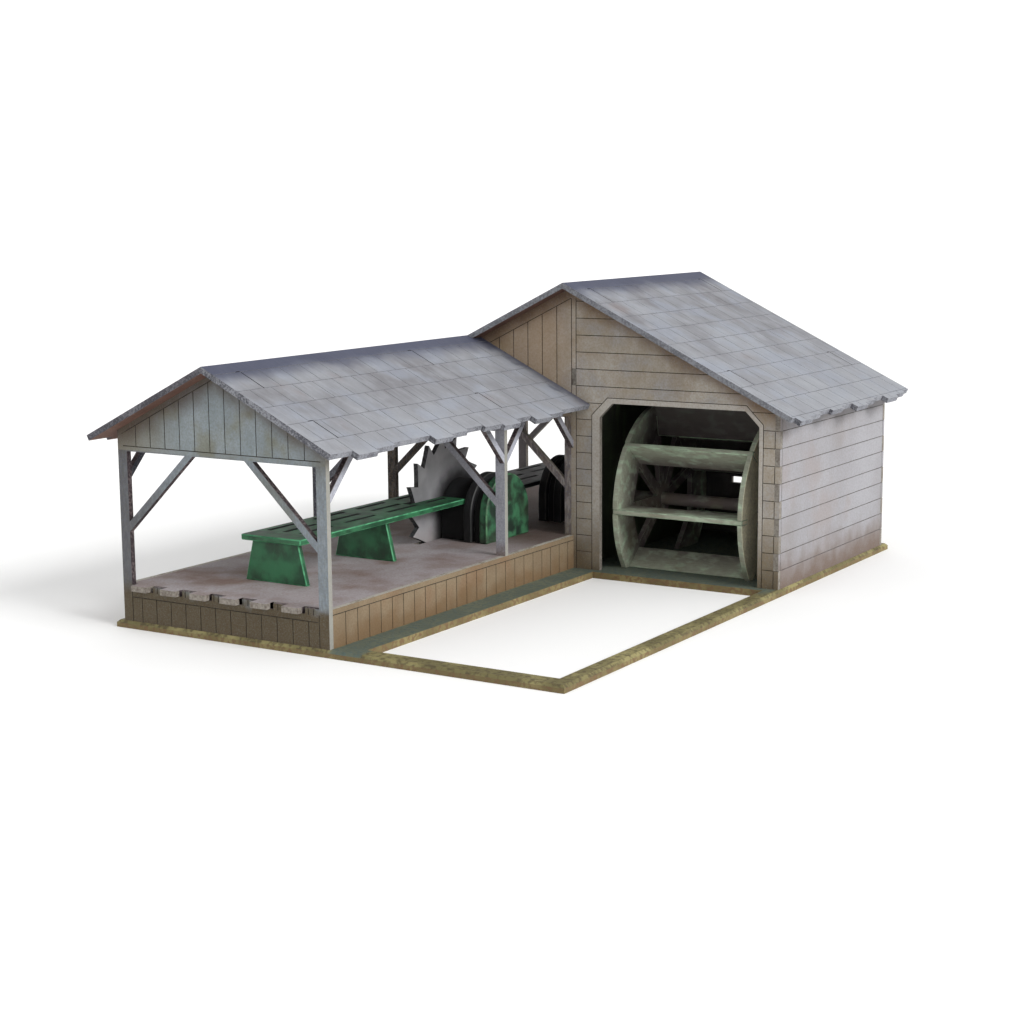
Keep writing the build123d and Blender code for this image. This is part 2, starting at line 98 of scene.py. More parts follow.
class Sig:
    """One output of a node tree, on which arithmetic adds Math nodes."""

    def __init__(self, graph: "Graph", socket: bpy.types.NodeSocket) -> None:
        """Holds the graph and the socket."""
        self.graph = graph
        self.socket = socket

    def _math(self, operation: str, *values: Operand, clamp: bool = False) -> "Sig":
        """A Math node over the values."""
        settings = {"operation": operation, "use_clamp": clamp}
        return self.graph.node("ShaderNodeMath", settings, dict(enumerate(values)))

    def __add__(self, other: Operand) -> "Sig":
        """Sum."""
        return self._math("ADD", self, other)

    __radd__ = __add__

    def __sub__(self, other: Operand) -> "Sig":
        """Difference."""
        return self._math("SUBTRACT", self, other)

    def __rsub__(self, other: Operand) -> "Sig":
        """Reflected difference."""
        return self._math("SUBTRACT", other, self)

    def __mul__(self, other: Operand) -> "Sig":
        """Product."""
        return self._math("MULTIPLY", self, other)

    __rmul__ = __mul__

    def __truediv__(self, other: Operand) -> "Sig":
        """Quotient."""
        return self._math("DIVIDE", self, other)

    def __rtruediv__(self, other: Operand) -> "Sig":
        """Reflected quotient."""
        return self._math("DIVIDE", other, self)

    def __abs__(self) -> "Sig":
        """Size without its sign."""
        return self._math("ABSOLUTE", self)

    def __gt__(self, other: Operand) -> "Sig":
        """1 where it is above the other, else 0."""
        return self._math("GREATER_THAN", self, other)

    def __lt__(self, other: Operand) -> "Sig":
        """1 where it is below the other, else 0."""
        return self._math("LESS_THAN", self, other)

    def floor(self) -> "Sig":
        """The whole number at or below it."""
        return self._math("FLOOR", self)

    def modulo(self, other: Operand) -> "Sig":
        """What is left after division, never below 0."""
        return self._math("FLOORED_MODULO", self, other)

    def highest(self, other: Operand) -> "Sig":
        """The larger of the two."""
        return self._math("MAXIMUM", self, other)

    def clamped(self) -> "Sig":
        """The value held between 0 and 1."""
        return self._math("ADD", self, 0.0, clamp=True)

    def root(self) -> "Sig":
        """Square root."""
        return self._math("SQRT", self)

    def ramp(self, low: float, high: float) -> "Sig":
        """A smooth step from 0 at low to 1 at high, or the other way round if low is the larger.

        Args:
            low: value at which the step is 0.
            high: value at which the step is 1.

        Returns:
            The step.
        """
        turned = low > high
        settings = {"interpolation_type": "SMOOTHSTEP"}
        ends = {1: min(low, high), 2: max(low, high), 3: 1.0 if turned else 0.0, 4: 0.0 if turned else 1.0}
        return self.graph.node("ShaderNodeMapRange", settings, {0: self, **ends})


class Graph:
    """A node tree and the short ways to fill it."""

    def __init__(self, tree: bpy.types.NodeTree) -> None:
        """Holds the tree."""
        self.tree = tree

    def node(self, kind: str, settings: dict[str, Any], values: dict[Any, Any], output: Any = 0) -> Sig:
        """Adds a node.

        Args:
            kind: its type.
            settings: what is set on the node first.
            values: a value or signal for each input, by name or number.
            output: name or number of the output wanted.

        Returns:
            That output.
        """
        made = self.tree.nodes.new(kind)
        for name, value in settings.items():
            setattr(made, name, value)
        for key, value in values.items():
            self.feed(made.inputs[key], value)
        return Sig(self, made.outputs[output])

    def feed(self, socket: bpy.types.NodeSocket, value: Any) -> None:
        """Links a signal to a socket, or sets the socket to a constant.

        Args:
            socket: the input.
            value: a signal, a number, a vector or a colour.
        """
        if isinstance(value, Sig):
            self.tree.links.new(value.socket, socket)
        elif isinstance(value, tuple) and socket.type == "RGBA":
            socket.default_value = (*value, 1.0)
        else:
            socket.default_value = value

    def share(self, vector: Any, axis: str) -> Sig:
        """The X, Y or Z share of a vector."""
        return self.node("ShaderNodeSeparateXYZ", {}, {0: vector}, axis)

    def vector(self, operation: str, *values: Any, output: Any = 0) -> Sig:
        """A Vector Math node over the values."""
        return self.node("ShaderNodeVectorMath", {"operation": operation}, dict(enumerate(values)), output)


class Shader(Graph):
    """A node material and its surface."""

    def __init__(self, name: str) -> None:
        """Starts an empty material with a Principled shader.

        Args:
            name: the material's name.
        """
        self.material = bpy.data.materials.new(name)
        self.material.use_nodes = True
        super().__init__(self.material.node_tree)
        self.tree.nodes.clear()
        output = self.tree.nodes.new("ShaderNodeOutputMaterial")
        self.surface = self.tree.nodes.new("ShaderNodeBsdfPrincipled")
        self.tree.links.new(self.surface.outputs[0], output.inputs[0])
        self.place = self.node("ShaderNodeTexCoord", {}, {}, "Object")
        self.normal = self.node("ShaderNodeTexCoord", {}, {}, "Normal")

    def axis(self, name: str) -> Sig:
        """The X, Y or Z share of the place on the object."""
        return self.share(self.place, name)

    def noise(self, size_mm: float, detail: float = 4.0, stretch: Triple = (1, 1, 1), shift: float = 0.0) -> Sig:
        """Cloudy noise with features of about a size.

        Args:
            size_mm: size of the features.
            detail: number of finer layers.
            stretch: how much finer the pattern is along each axis.
            shift: offset that gives another pattern.

        Returns:
            The noise, about 0.5 on average.
        """
        mapped = self.node("ShaderNodeMapping", {}, {"Vector": self.place, "Location": (shift,) * 3, "Scale": stretch})
        return self.node("ShaderNodeTexNoise", {}, {"Vector": mapped, "Scale": 1 / (size_mm * MM), "Detail": detail})

    def mix(self, share: Operand, first: Any, second: Any) -> Sig:
        """Colour between first and second.

        Args:
            share: 0 for the first, 1 for the second.
            first: a colour.
            second: a colour.

        Returns:
            The mixed colour.
        """
        settings = {"data_type": "RGBA", "clamp_factor": True}
        return self.node("ShaderNodeMix", settings, {0: share, 6: first, 7: second}, 2)

    def facing(self, side: "Side") -> Sig:
        """How squarely the surface faces to a side or away from it, from 0 to 1."""
        return abs(self.vector("DOT_PRODUCT", self.normal, side.value, output="Value"))

    def bump(self, height: Sig, depth_mm: float) -> Sig:
        """A bumped normal from a height signal."""
        return self.node("ShaderNodeBump", {}, {"Height": height, "Distance": depth_mm * MM, "Strength": 1.0})

    def finish(self, colour: Any, roughness: Any, normal: Optional[Sig] = None,
               **constants: float) -> bpy.types.Material:
        """Feeds the surface.

        Args:
            colour: base colour.
            roughness: roughness.
            normal: bumped normal, if any.
            constants: other sockets of the surface by name, with _ for a space.

        Returns:
            The finished material.
        """
        self.feed(self.surface.inputs["Base Color"], colour)
        self.feed(self.surface.inputs["Roughness"], roughness)
        if normal is not None:
            self.feed(self.surface.inputs["Normal"], normal)
        for name, value in constants.items():
            self.feed(self.surface.inputs[name.replace("_", " ")], value)
        return self.material


class Side(Enum):
    """A side of the model, by the direction in which it looks."""

    RIGHT = (1.0, 0.0, 0.0)
    LEFT = (-1.0, 0.0, 0.0)
    FRONT = (0.0, -1.0, 0.0)
    BACK = (0.0, 1.0, 0.0)
    TOP = (0.0, 0.0, 1.0)

    @property
    def looks_along_y(self) -> bool:
        """Whether it is the front or the back."""
        return self in (Side.FRONT, Side.BACK)

    def corner(self, node: str) -> Vector:
        """The corner of a CAD node's box that lies on this side."""
        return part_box(node)[1 if sum(self.value) > 0 else 0]


@dataclass(frozen=True)
class RoofLine:
    """The underside of a roof above a wall, by its ridge."""

    ridge_x: float
    ridge_z: float

    def gap(self, s: Shader) -> Sig:
        """Height of the roof above each place, in millimetres."""
        fall = ROOF_SLOPE * abs(s.axis("X") - self.ridge_x)
        return (self.ridge_z - fall - s.axis("Z")) / MM


@dataclass(frozen=True)
class Trim:
    """A band round an opening with slanted upper corners, by its outer outline."""

    left: float
    right: float
    top: float
    slant: float
    soft: float = 0.15 * MM

    def mask(self, s: Shader) -> Sig:
        """Where the outline is.

        Args:
            s: the shader.

        Returns:
            1 inside the outline, 0 outside.
        """
        soft = self.soft
        x = s.axis("X")
        z = s.axis("Z")
        sides = x.ramp(self.left - soft, self.left + soft) * x.ramp(self.right + soft, self.right - soft)
        under = z.ramp(self.top + soft, self.top - soft)
        low_corner = self.top - self.slant
        first = (x - z).ramp(self.left - low_corner - soft, self.left - low_corner + soft)
        second = (x + z).ramp(self.right + low_corner + soft, self.right + low_corner - soft)
        return sides * under * first * second


@dataclass(frozen=True)
class Tint:
    """A colour that comes in along one axis, from none at one place to its full share at another."""

    colour: Colour
    axis: str
    none_at: float
    full_at: float
    strength: float = 0.8
    wobble_mm: float = 9.0

    def share(self, s: Shader, wobble: Sig) -> Sig:
        """How far it has come in at each place, from 0 to 1."""
        return (s.axis(self.axis) + self.wobble_mm * MM * wobble).ramp(self.none_at, self.full_at)


@dataclass(frozen=True)
class PostPaint:
    """Bare grey wood of the posts below a gable, brushed upright and darker on the left as painted shade.

    The wood ends at a place of X and at a height. Its painted shade follows the tint's share, or fades on its own.
    """

    colour: Colour
    # painted shade: the colour of the posts' left side
    dark: Colour
    top_mm: float = 62.0
    end: float = 1.0
    fade: Optional[float] = None
    fade_width: float = 20 * MM

    def over(self, s: Shader, colour: Sig, light: Colour, dark_side: Sig) -> Sig:
        """The posts' paint over a wall's paint.

        Args:
            s: the shader.
            colour: the wall's paint.
            light: colour of the brush strokes.
            dark_side: share of the painted shade at each place, if the posts have no fade of their own.

        Returns:
            The colour.
        """
        below = (s.axis("Z") / MM).ramp(self.top_mm + 0.5, self.top_mm)
        before = s.axis("X").ramp(self.end + 0.1 * MM, self.end)
        brushed = s.noise(0.9, 4.0, (1.0, 1.0, 0.3), shift=12.6).ramp(0.46, 0.62)
        if self.fade is not None:
            dark_side = s.axis("X").ramp(self.fade + self.fade_width, self.fade)
        # Painted shade on the posts' left side.
        wood = s.mix(dark_side, self.colour, self.dark)
        wood = s.mix(brushed * (0.45 - 0.35 * dark_side), wood, light)
        return s.mix(below * before, colour, wood)


@dataclass(frozen=True)
class WeatheredPaint:
    """Matt paint over board, with cloudy stains, streaks, a tinted foot and fine grit."""

    name: str
    base: Colour
    light: Colour
    stain: Colour
    foot: Colour
    foot_from_mm: float = 2.5
    foot_to_mm: float = 26.0
    foot_strength: float = 0.75
    cloud_mm: float = 22.0
    streak: Triple = (1.0, 1.0, 0.25)
    streak_strength: float = 0.4
    stain_strength: float = 0.5
    roughness: float = 0.82
    grit_mm: float = 0.05
    roof: Optional[RoofLine] = None
    roof_shade: Colour = srgb(70, 52, 42)
    roof_reach_mm: float = 11.0
    left: Optional[Tint] = None
    far: Optional[Tint] = None
    post: Optional[PostPaint] = None
    trim: Optional[Trim] = None
    patch: Optional[Colour] = None
    speckle: float = 0.14

    def build(self) -> bpy.types.Material:
        """Makes the material.

        Returns:
            The material.
        """
        s = Shader(self.name)
        cloud = s.noise(self.cloud_mm, 5.0).ramp(0.38, 0.66)
        stains = s.noise(self.cloud_mm * 1.6, 6.0, shift=3.7)
        streaks = s.noise(4.0, 4.0, self.streak, shift=8.1).ramp(0.46, 0.68)
        grain = s.noise(0.7, 3.0, shift=1.3)
        wobble = s.noise(8.0, 5.0, shift=5.5) - 0.5
        foot = (s.axis("Z") / MM + 16 * wobble).ramp(self.foot_to_mm, self.foot_from_mm)
        colour = s.mix(cloud * 0.55, self.base, self.light)
        colour = s.mix(streaks * self.streak_strength, colour, self.light)
        if self.patch:
            patches = s.noise(self.cloud_mm * 0.8, 6.0, shift=17.3).ramp(0.47, 0.66)
            colour = s.mix(patches * 0.6, colour, self.patch)
        if self.left:
            share = self.left.share(s, wobble)
            colour = s.mix(share * self.left.strength, colour, self.left.colour)
            if self.post:
                colour = self.post.over(s, colour, self.light, share)
        colour = s.mix(stains.ramp(0.5, 0.7) * self.stain_strength, colour, self.stain)
        if self.trim:
            colour = s.mix(self.trim.mask(s) * 0.8, colour, self.light)
        colour = s.mix(foot * self.foot_strength, colour, self.foot)
        if self.far:
            colour = s.mix(self.far.share(s, wobble) * self.far.strength, colour, self.far.colour)
        if self.roof:
            shade = (self.roof.gap(s) + 7 * wobble).ramp(self.roof_reach_mm, 0.0)
            colour = s.mix(shade * 0.85, colour, self.roof_shade)
        colour = s.mix(grain - 0.36, colour, self.stain)
        colour = s.mix(s.noise(0.45, 2.0, shift=23.8).ramp(0.55, 0.7) * self.speckle, colour, self.light)
        normal = s.bump(grain + 0.6 * streaks, self.grit_mm)
        return s.finish(colour, (grain * 0.2 + (self.roughness - 0.1)).clamped(), normal)


@dataclass(frozen=True)
class CutEdge:
    """The cut edge of a board: dark burnt fibres with pale paint caught on the corners."""

    name: str
    dark: Colour
    pale: Colour
    pale_share: float = 0.5
    fibre_mm: float = 0.9
    # painted light: the pale colour of edges beyond a place of X, which face the light
    bright: Optional[Colour] = None
    bright_from_x: float = 0.0
    softness: float = 0.09
    grit_mm: float = 0.12
    # painted shade: the darker colour of edges that face the front
    front: Optional[Colour] = None

    def build(self) -> bpy.types.Material:
        """Makes the material.

        Returns:
            The material.
        """
        s = Shader(self.name)
        fibre = s.noise(self.fibre_mm, 5.0, shift=2.2)
        patch = s.noise(6.0, 4.0, shift=6.6)
        middle = 0.62 - 0.24 * self.pale_share
        pale = (fibre * 0.6 + patch * 0.4).ramp(middle - self.softness, middle + self.softness)
        colour = s.mix(pale, self.dark, self.pale)
        # Painted shade on the edges that face the front.
        if self.front:
            front_shade = s.facing(Side.FRONT).ramp(0.5, 0.8)
            colour = s.mix(front_shade * (0.9 - 0.75 * pale), colour, self.front)
        # Painted light on the edges beyond a place of X.
        if self.bright:
            outer = s.axis("X").ramp(self.bright_from_x - 0.2 * MM, self.bright_from_x)
            colour = s.mix(outer * (0.95 - 0.35 * patch), colour, self.bright)
        return s.finish(colour, 0.85, s.bump(fibre, self.grit_mm))


@dataclass(frozen=True)
class RoofPaint:
    """Grey roof paint, lilac-blue along the ridge, with pale dry-brushed streaks down the slope."""

    name: str
    base: Colour
    light: Colour
    dark: Colour
    ridge: Colour
    ridge_x: float
    eave_x: float
    ridge_width: float
    rust: Colour = srgb(112, 82, 70)
    cold: Colour = srgb(140, 147, 160)
    roughness: float = 0.76
    # painted shade: the strip of roof beside a wall at this Y darkens to the ridge colour
    wall_y: Optional[float] = None

    def build(self) -> bpy.types.Material:
        """Makes the material.

        Returns:
            The material.
        """
        s = Shader(self.name)
        cloud = s.noise(26.0, 6.0).ramp(0.36, 0.66)
        dust = s.noise(9.0, 6.0, shift=4.4).ramp(0.48, 0.72)
        streaks = s.noise(2.4, 5.0, (0.18, 1.0, 0.18), shift=9.3).ramp(0.44, 0.7)
        scratches = s.noise(0.8, 4.0, (0.12, 1.0, 0.12), shift=14.3).ramp(0.5, 0.72)
        grain = s.noise(0.7, 4.0, shift=1.9)
        away = abs(s.axis("X") - self.ridge_x)
        reach = abs(self.eave_x - self.ridge_x)
        low = (away / reach).ramp(0.15, 0.9)
        ridge = (away / self.ridge_width + 0.7 * (s.noise(12.0, 5.0, shift=7.1) - 0.5)).ramp(1.1, 0.25)
        eave = (away / reach + 0.1 * (s.noise(7.0, 4.0, shift=3.3) - 0.5)).ramp(0.9, 1.0)
        colour = s.mix(cloud, self.dark, self.base)
        colour = s.mix(low * 0.45, colour, self.light)
        colour = s.mix(dust * 0.4, colour, self.light)
        colour = s.mix(s.noise(17.0, 6.0, shift=21.4).ramp(0.46, 0.66) * 0.5, colour, self.cold)
        colour = s.mix(streaks * 0.25, colour, self.light)
        colour = s.mix(scratches * 0.22, colour, self.dark)
        colour = s.mix(s.noise(18.0, 5.0, shift=11.7).ramp(0.6, 0.78) * 0.3, colour, self.rust)
        colour = s.mix((grain - 0.5) * 0.5 + 0.1, colour, self.dark)
        colour = s.mix(eave * 0.25, colour, self.light)
        colour = s.mix(ridge * 0.9, colour, self.ridge)
        # Painted shade on the strip of roof beside the wall.
        if self.wall_y:
            wall_shade = (s.axis("Y") + 5 * MM * (dust - 0.5)).ramp(self.wall_y - 9 * MM, self.wall_y - 2 * MM)
            colour = s.mix(wall_shade * 0.7, colour, self.ridge)
        normal = s.bump(grain + streaks * 0.7, 0.06)
        return s.finish(colour, self.roughness, normal)


@dataclass(frozen=True)
class BasePaint:
    """Olive ground colour on the base plate, with a mossy ledge beside the water."""

    name: str
    earth: Colour
    pale: Colour
    brown: Colour
    moss: Colour
    rust: Colour
    ledge_left: float
    ledge_right: float
    ledge_back: float
    house_right: float
    house_back: float

    def build(self) -> bpy.types.Material:
        """Makes the material.

        Returns:
            The material.
        """
        s = Shader(self.name)
        cloud = s.noise(14.0, 6.0).ramp(0.4, 0.64)
        spots = s.noise(1.7, 5.0, shift=3.1).ramp(0.46, 0.64)
        grain = s.noise(0.8, 4.0, shift=1.1)
        side = s.facing(Side.TOP).ramp(0.5, 0.2)
        wobble = 2.5 * MM * (s.noise(6.0, 5.0, shift=5.2) - 0.5)
        x = s.axis("X") + wobble
        y = s.axis("Y")
        right_of_shed = x.ramp(self.ledge_left - MM, self.ledge_left + MM)
        on_ledge = right_of_shed * x.ramp(self.ledge_right + 3 * MM, self.ledge_right + MM)
        before_house = (y + wobble).ramp(self.ledge_back - 14 * MM, self.ledge_back - 2 * MM)
        under_house = right_of_shed * x.ramp(self.house_right, self.house_right - 2 * MM)
        before_back = y.ramp(self.house_back, self.house_back - MM)
        moss = on_ledge.highest(before_house * under_house) * before_back * (1 - side)
        colour = s.mix(cloud, self.earth, self.pale)
        colour = s.mix(spots * 0.65, colour, self.brown)
        colour = s.mix((moss * (0.75 + 0.25 * spots)).clamped(), colour, self.moss)
        colour = s.mix(side * (0.35 + 0.5 * spots), colour, self.rust)
        return s.finish(colour, 0.8, s.bump(grain + spots, 0.1))


@dataclass(frozen=True)
class SawSteel:
    """Dull grey metal paint, with painted shade on the side of the drive."""

    name: str
    base: Colour
    light: Colour
    shadow: Colour
    rust: Colour
    centre: Vector
    radius: float
    spread: float

    def build(self) -> bpy.types.Material:
        """Makes the material.

        Returns:
            The material.
        """
        s = Shader(self.name)
        cloud = s.noise(11.0, 5.0).ramp(0.36, 0.66)
        grain = s.noise(0.8, 4.0, shift=1.7)
        y = s.axis("Y") - self.centre.y
        above = (s.axis("Z") - self.centre.z).highest(0.0)
        reach = (y * y + above * above).root()
        shade = (reach + 3 * MM * (s.noise(5.0, 3.0, shift=4.0) - 0.5)).ramp(self.radius + self.spread, self.radius)
        foot = (s.axis("Z") / MM + 8 * (s.noise(6.0, 4.0, shift=2.8) - 0.5)).ramp(26.0, 14.0)
        colour = s.mix(cloud, self.base, self.light)
        colour = s.mix(foot * 0.4, colour, self.rust)
        # Painted shade on the blade round the drum.
        colour = s.mix(shade * 0.95, colour, self.shadow)
        return s.finish(colour, (grain * 0.3 + 0.5).clamped(), s.bump(grain, 0.04), Metallic=0.15)


@dataclass(frozen=True)
class MachinePaint:
    """Green or black machine paint with brushed lighter patches and dirt."""

    name: str
    base: Colour
    light: Colour
    dirt: Colour
    light_share: float = 0.5
    cloud_mm: float = 9.0
    roughness: float = 0.55

    def build(self) -> bpy.types.Material:
        """Makes the material.

        Returns:
            The material.
        """
        s = Shader(self.name)
        middle = 0.66 - 0.3 * self.light_share
        cloud = s.noise(self.cloud_mm, 5.0).ramp(middle - 0.12, middle + 0.12)
        dirt = s.noise(15.0, 6.0, shift=2.9).ramp(0.5, 0.72)
        brush = s.noise(1.4, 3.0, (1.0, 0.2, 0.4), shift=6.1)
        colour = s.mix(cloud, self.base, self.light)
        colour = s.mix(dirt * 0.5, colour, self.dirt)
        colour = s.mix(brush.ramp(0.5, 0.75) * 0.35, colour, self.light)
        return s.finish(colour, (brush * 0.25 + (self.roughness - 0.1)).clamped(), s.bump(brush, 0.06))


@dataclass(frozen=True)
class WetWood:
    """Wet wheel boards: pale algae towards the rim, dark and brown towards the axle, the dark partly painted shade,
    with painted shade over the wheel's upper back.
    """

    name: str
    outer: Colour
    algae: Colour
    inner: Colour
    brown: Colour
    axle: Vector
    dark_reach: float
    pale_reach: float
    far: Colour
    side: Colour
    side_x: float

    def build(self) -> bpy.types.Material:
        """Makes the material.

        Returns:
            The material.
        """
        s = Shader(self.name)
        y = s.axis("Y") - self.axle.y
        z = s.axis("Z") - self.axle.z
        radius = (y * y + z * z).root()
        blot = s.noise(7.0, 6.0, shift=3.9)
        # Darker towards the axle: partly painted shade.
        pale = (radius + 9 * MM * (blot - 0.5)).ramp(self.dark_reach, self.pale_reach)
        algae = s.noise(3.6, 6.0, (0.5, 1.0, 1.0), shift=1.2).ramp(0.47, 0.66)
        brown = s.noise(16.0, 5.0, shift=8.8).ramp(0.48, 0.7)
        grain = s.noise(0.8, 4.0, (0.3, 1.0, 1.0), shift=6.4)
        colour = s.mix(pale, self.inner, self.outer)
        colour = s.mix(algae * (0.2 + 0.6 * pale), colour, self.algae)
        colour = s.mix(brown * 0.5, colour, self.brown)
        # Painted shade over the upper back of the wheel, deep in the house.
        far = (y + 5 * MM * (blot - 0.5)).ramp(-21 * MM, -9 * MM) * z.ramp(2 * MM, 14 * MM)
        colour = s.mix(far * 0.9, colour, self.far)
        outer_side = s.axis("X").ramp(self.side_x - 0.3 * MM, self.side_x - 0.05 * MM)
        colour = s.mix(outer_side * (0.95 - 0.3 * brown), colour, self.side)
        colour = s.mix((grain - 0.5) * 0.8 + 0.12, colour, self.inner)
        return s.finish(colour, (0.75 - 0.25 * algae).clamped(), s.bump(grain + 0.7 * algae, 0.12))


class Tree(Graph):
    """A Geometry Nodes tree with named inputs."""

    def __init__(self, name: str, inputs: dict[str, str]) -> None:
        """Starts a tree with a geometry input, the named inputs and a geometry output.

        Args:
            name: its name.
            inputs: kind of each further input, by its name.
        """
        super().__init__(bpy.data.node_groups.new(name, "GeometryNodeTree"))
        self.ids: dict[str, str] = {}
        self.tree.interface.new_socket("Geometry", in_out="OUTPUT", socket_type="NodeSocketGeometry")
        for label, kind in {"Geometry": "Geometry", **inputs}.items():
            made = self.tree.interface.new_socket(label, in_out="INPUT", socket_type=f"NodeSocket{kind}")
            self.ids[label] = made.identifier
        self.start = self.tree.nodes.new("NodeGroupInput")
        self.end = self.tree.nodes.new("NodeGroupOutput")

    def given(self, label: str) -> Sig:
        """The named input inside the tree."""
        return Sig(self, self.start.outputs[label])

    def scaled(self, vector: Any, factor: Any) -> Sig:
        """A vector times a number."""
        return self.node("ShaderNodeVectorMath", {"operation": "SCALE"}, {0: vector, "Scale": factor})

    def painted(self, geometry: Any, label: str, selection: Any = True) -> Sig:
        """The geometry with a named input's material on what is selected."""
        return self.node("GeometryNodeSetMaterial", {}, {
            "Geometry": geometry, "Selection": selection, "Material": self.given(label)})

    def close(self, geometry: Sig) -> None:
        """Links the result to the tree's output."""
        self.tree.links.new(geometry.socket, self.end.inputs[0])


def bake(obj: bpy.types.Object) -> None:
    """Makes an object's modified shape its plain mesh and removes its modifiers.

    Args:
        obj: the object.
    """
    bpy.context.view_layer.update()
    evaluated = obj.evaluated_get(bpy.context.evaluated_depsgraph_get())
    mesh = bpy.data.meshes.new_from_object(evaluated)
    obj.modifiers.clear()
    old = obj.data
    obj.data = mesh
    bpy.data.meshes.remove(old)


@dataclass
class LineSet:
    """Engraved lines in rows and columns on a sheet's face, all in the model's frame and in metres.

    A line is a box of the given size, turned by the rotation. Its height shrinks away from
    the taper's centre, for lines that end under a sloping edge. Each field is an input of
    the cutting tree.
    """

    first: Vector
    size: Triple
    columns: int = 1
    column_step: Triple = (0.0, 0.0, 0.0)
    rows: int = 1
    row_step: Triple = (0.0, 0.0, 0.0)
    stagger: float = 0.0
    rotation: Triple = (0.0, 0.0, 0.0)
    taper_centre: float = 0.0
    taper: float = 0.0


@dataclass
class Coat:
    """The paints of one sheet: its engraved face, lines, cut edges, back and slits."""

    face: bpy.types.Material
    line: bpy.types.Material
    edge: bpy.types.Material
    back: Optional[bpy.types.Material] = None
    # painted shade: near-black paint of the slits' walls
    slit: Optional[bpy.types.Material] = None


class Engraver:
    """Cuts line sets into a sheet and gives face, line and cut edge their paints."""

    edge_facing = 0.6
    line_reach = 1.3
    skin = 0.02 * MM
    back_depth = 1.0 * MM
    least_share = 0.01

    def __init__(self) -> None:
        """Builds both trees once."""
        self.cutting = self._cutting_tree()
        self.painting = self._painting_tree()

    def _cutting_tree(self) -> Tree:
        """The tree that repeats one line over rows and columns and cuts it from the sheet.

        Returns:
            The tree.
        """
        t = Tree("engraved_lines", {
            "First": "Vector", "Size": "Vector", "Columns": "Int", "Column Step": "Vector", "Rows": "Int",
            "Row Step": "Vector", "Stagger": "Float", "Rotation": "Vector", "Taper Centre": "Float",
            "Taper": "Float", "Line Paint": "Material"})
        columns = t.given("Columns")
        points = t.node("GeometryNodePoints", {}, {"Count": columns * t.given("Rows")})
        index = t.node("GeometryNodeInputIndex", {}, {})
        row = ((index + 0.25) / columns).floor()
        column = index - row * columns + row.modulo(2.0) * t.given("Stagger")
        moved = t.vector("ADD", t.scaled(t.given("Column Step"), column), t.scaled(t.given("Row Step"), row))
        place = t.vector("ADD", t.given("First"), moved)
        loss = abs(t.share(place, "X") - t.given("Taper Centre")) * t.given("Taper")
        tall = t.share(t.given("Size"), "Z")
        left = ((tall - loss) / tall).highest(self.least_share)
        lowered = t.node("ShaderNodeCombineXYZ", {}, {"Z": loss * -0.5})
        positions = t.node("GeometryNodeSetPosition", {}, {
            "Geometry": points, "Position": t.vector("ADD", place, lowered)})
        copies = t.node("GeometryNodeInstanceOnPoints", {}, {
            "Points": positions,
            "Instance": t.node("GeometryNodeMeshCube", {}, {"Size": t.given("Size")}),
            "Scale": t.node("ShaderNodeCombineXYZ", {}, {"X": 1.0, "Y": 1.0, "Z": left}),
            "Rotation": t.node("FunctionNodeEulerToRotation", {}, {0: t.given("Rotation")})})
        real = t.node("GeometryNodeRealizeInstances", {}, {"Geometry": copies})
        t.close(t.node("GeometryNodeMeshBoolean", {"operation": "DIFFERENCE", "solver": "EXACT"}, {
            "Mesh 1": t.given("Geometry"), "Mesh 2": t.painted(real, "Line Paint")}))
        return t

    def _painting_tree(self) -> Tree:
        """The tree that paints both broad faces, the engraved lines and the cut edges.

        Returns:
            The tree.
        """
        t = Tree("sheet_paint", {
            "Axis": "Vector", "Surface": "Vector", "Line Depth": "Float", "Face Paint": "Material",
            "Back Paint": "Material", "Line Paint": "Material", "Edge Paint": "Material"})
        real = t.node("GeometryNodeRealizeInstances", {}, {"Geometry": t.given("Geometry")})
        normal = t.node("GeometryNodeInputNormal", {}, {})
        facing = abs(t.vector("DOT_PRODUCT", normal, t.given("Axis"), output="Value"))
        place = t.node("GeometryNodeInputPosition", {}, {})
        offset = t.vector("SUBTRACT", place, t.given("Surface"))
        height = t.vector("DOT_PRODUCT", offset, t.given("Axis"), output="Value")
        in_line = (height > t.given("Line Depth") * -self.line_reach) * (height < -self.skin)
        faces = t.painted(real, "Face Paint")
        backs = t.painted(faces, "Back Paint", height < -self.back_depth)
        edges = t.painted(backs, "Edge Paint", facing < self.edge_facing)
        t.close(t.painted(edges, "Line Paint", in_line))
        return t

    @staticmethod
    def apply(obj: bpy.types.Object, tree: Tree, values: dict[str, Any]) -> None:
        """Runs a tree on an object and keeps the result as its plain mesh.

        Args:
            obj: the object.
            tree: the tree.
            values: the named inputs.
        """
        modifier = obj.modifiers.new(tree.tree.name, "NODES")
        modifier.node_group = tree.tree
        for label, value in values.items():
            modifier[tree.ids[label]] = value
        bake(obj)

    def engrave(self, obj: bpy.types.Object, lines: Sequence[LineSet], paint: bpy.types.Material) -> None:
        """Cuts every line set into an object, one after the other.

        Args:
            obj: the sheet.
            lines: the line sets.
            paint: paint of the lines.
        """
        for line in lines:
            values = {name.replace("_", " ").title(): value for name, value in vars(line).items()}
            self.apply(obj, self.cutting, {**values, "First": tuple(line.first), "Line Paint": paint})

    def paint(self, obj: bpy.types.Object, axis: Vector, surface: Vector, depth: float, coat: Coat) -> None:
        """Gives the sheet its paints.

        Args:
            obj: the sheet.
            axis: outward normal of the engraved face.
            surface: a point on that face.
            depth: depth of the lines.
            coat: the paints.
        """
        self.apply(obj, self.painting, {
            "Axis": tuple(axis), "Surface": tuple(surface), "Line Depth": depth, "Face Paint": coat.face,
            "Back Paint": coat.back or coat.face, "Line Paint": coat.line, "Edge Paint": coat.edge})


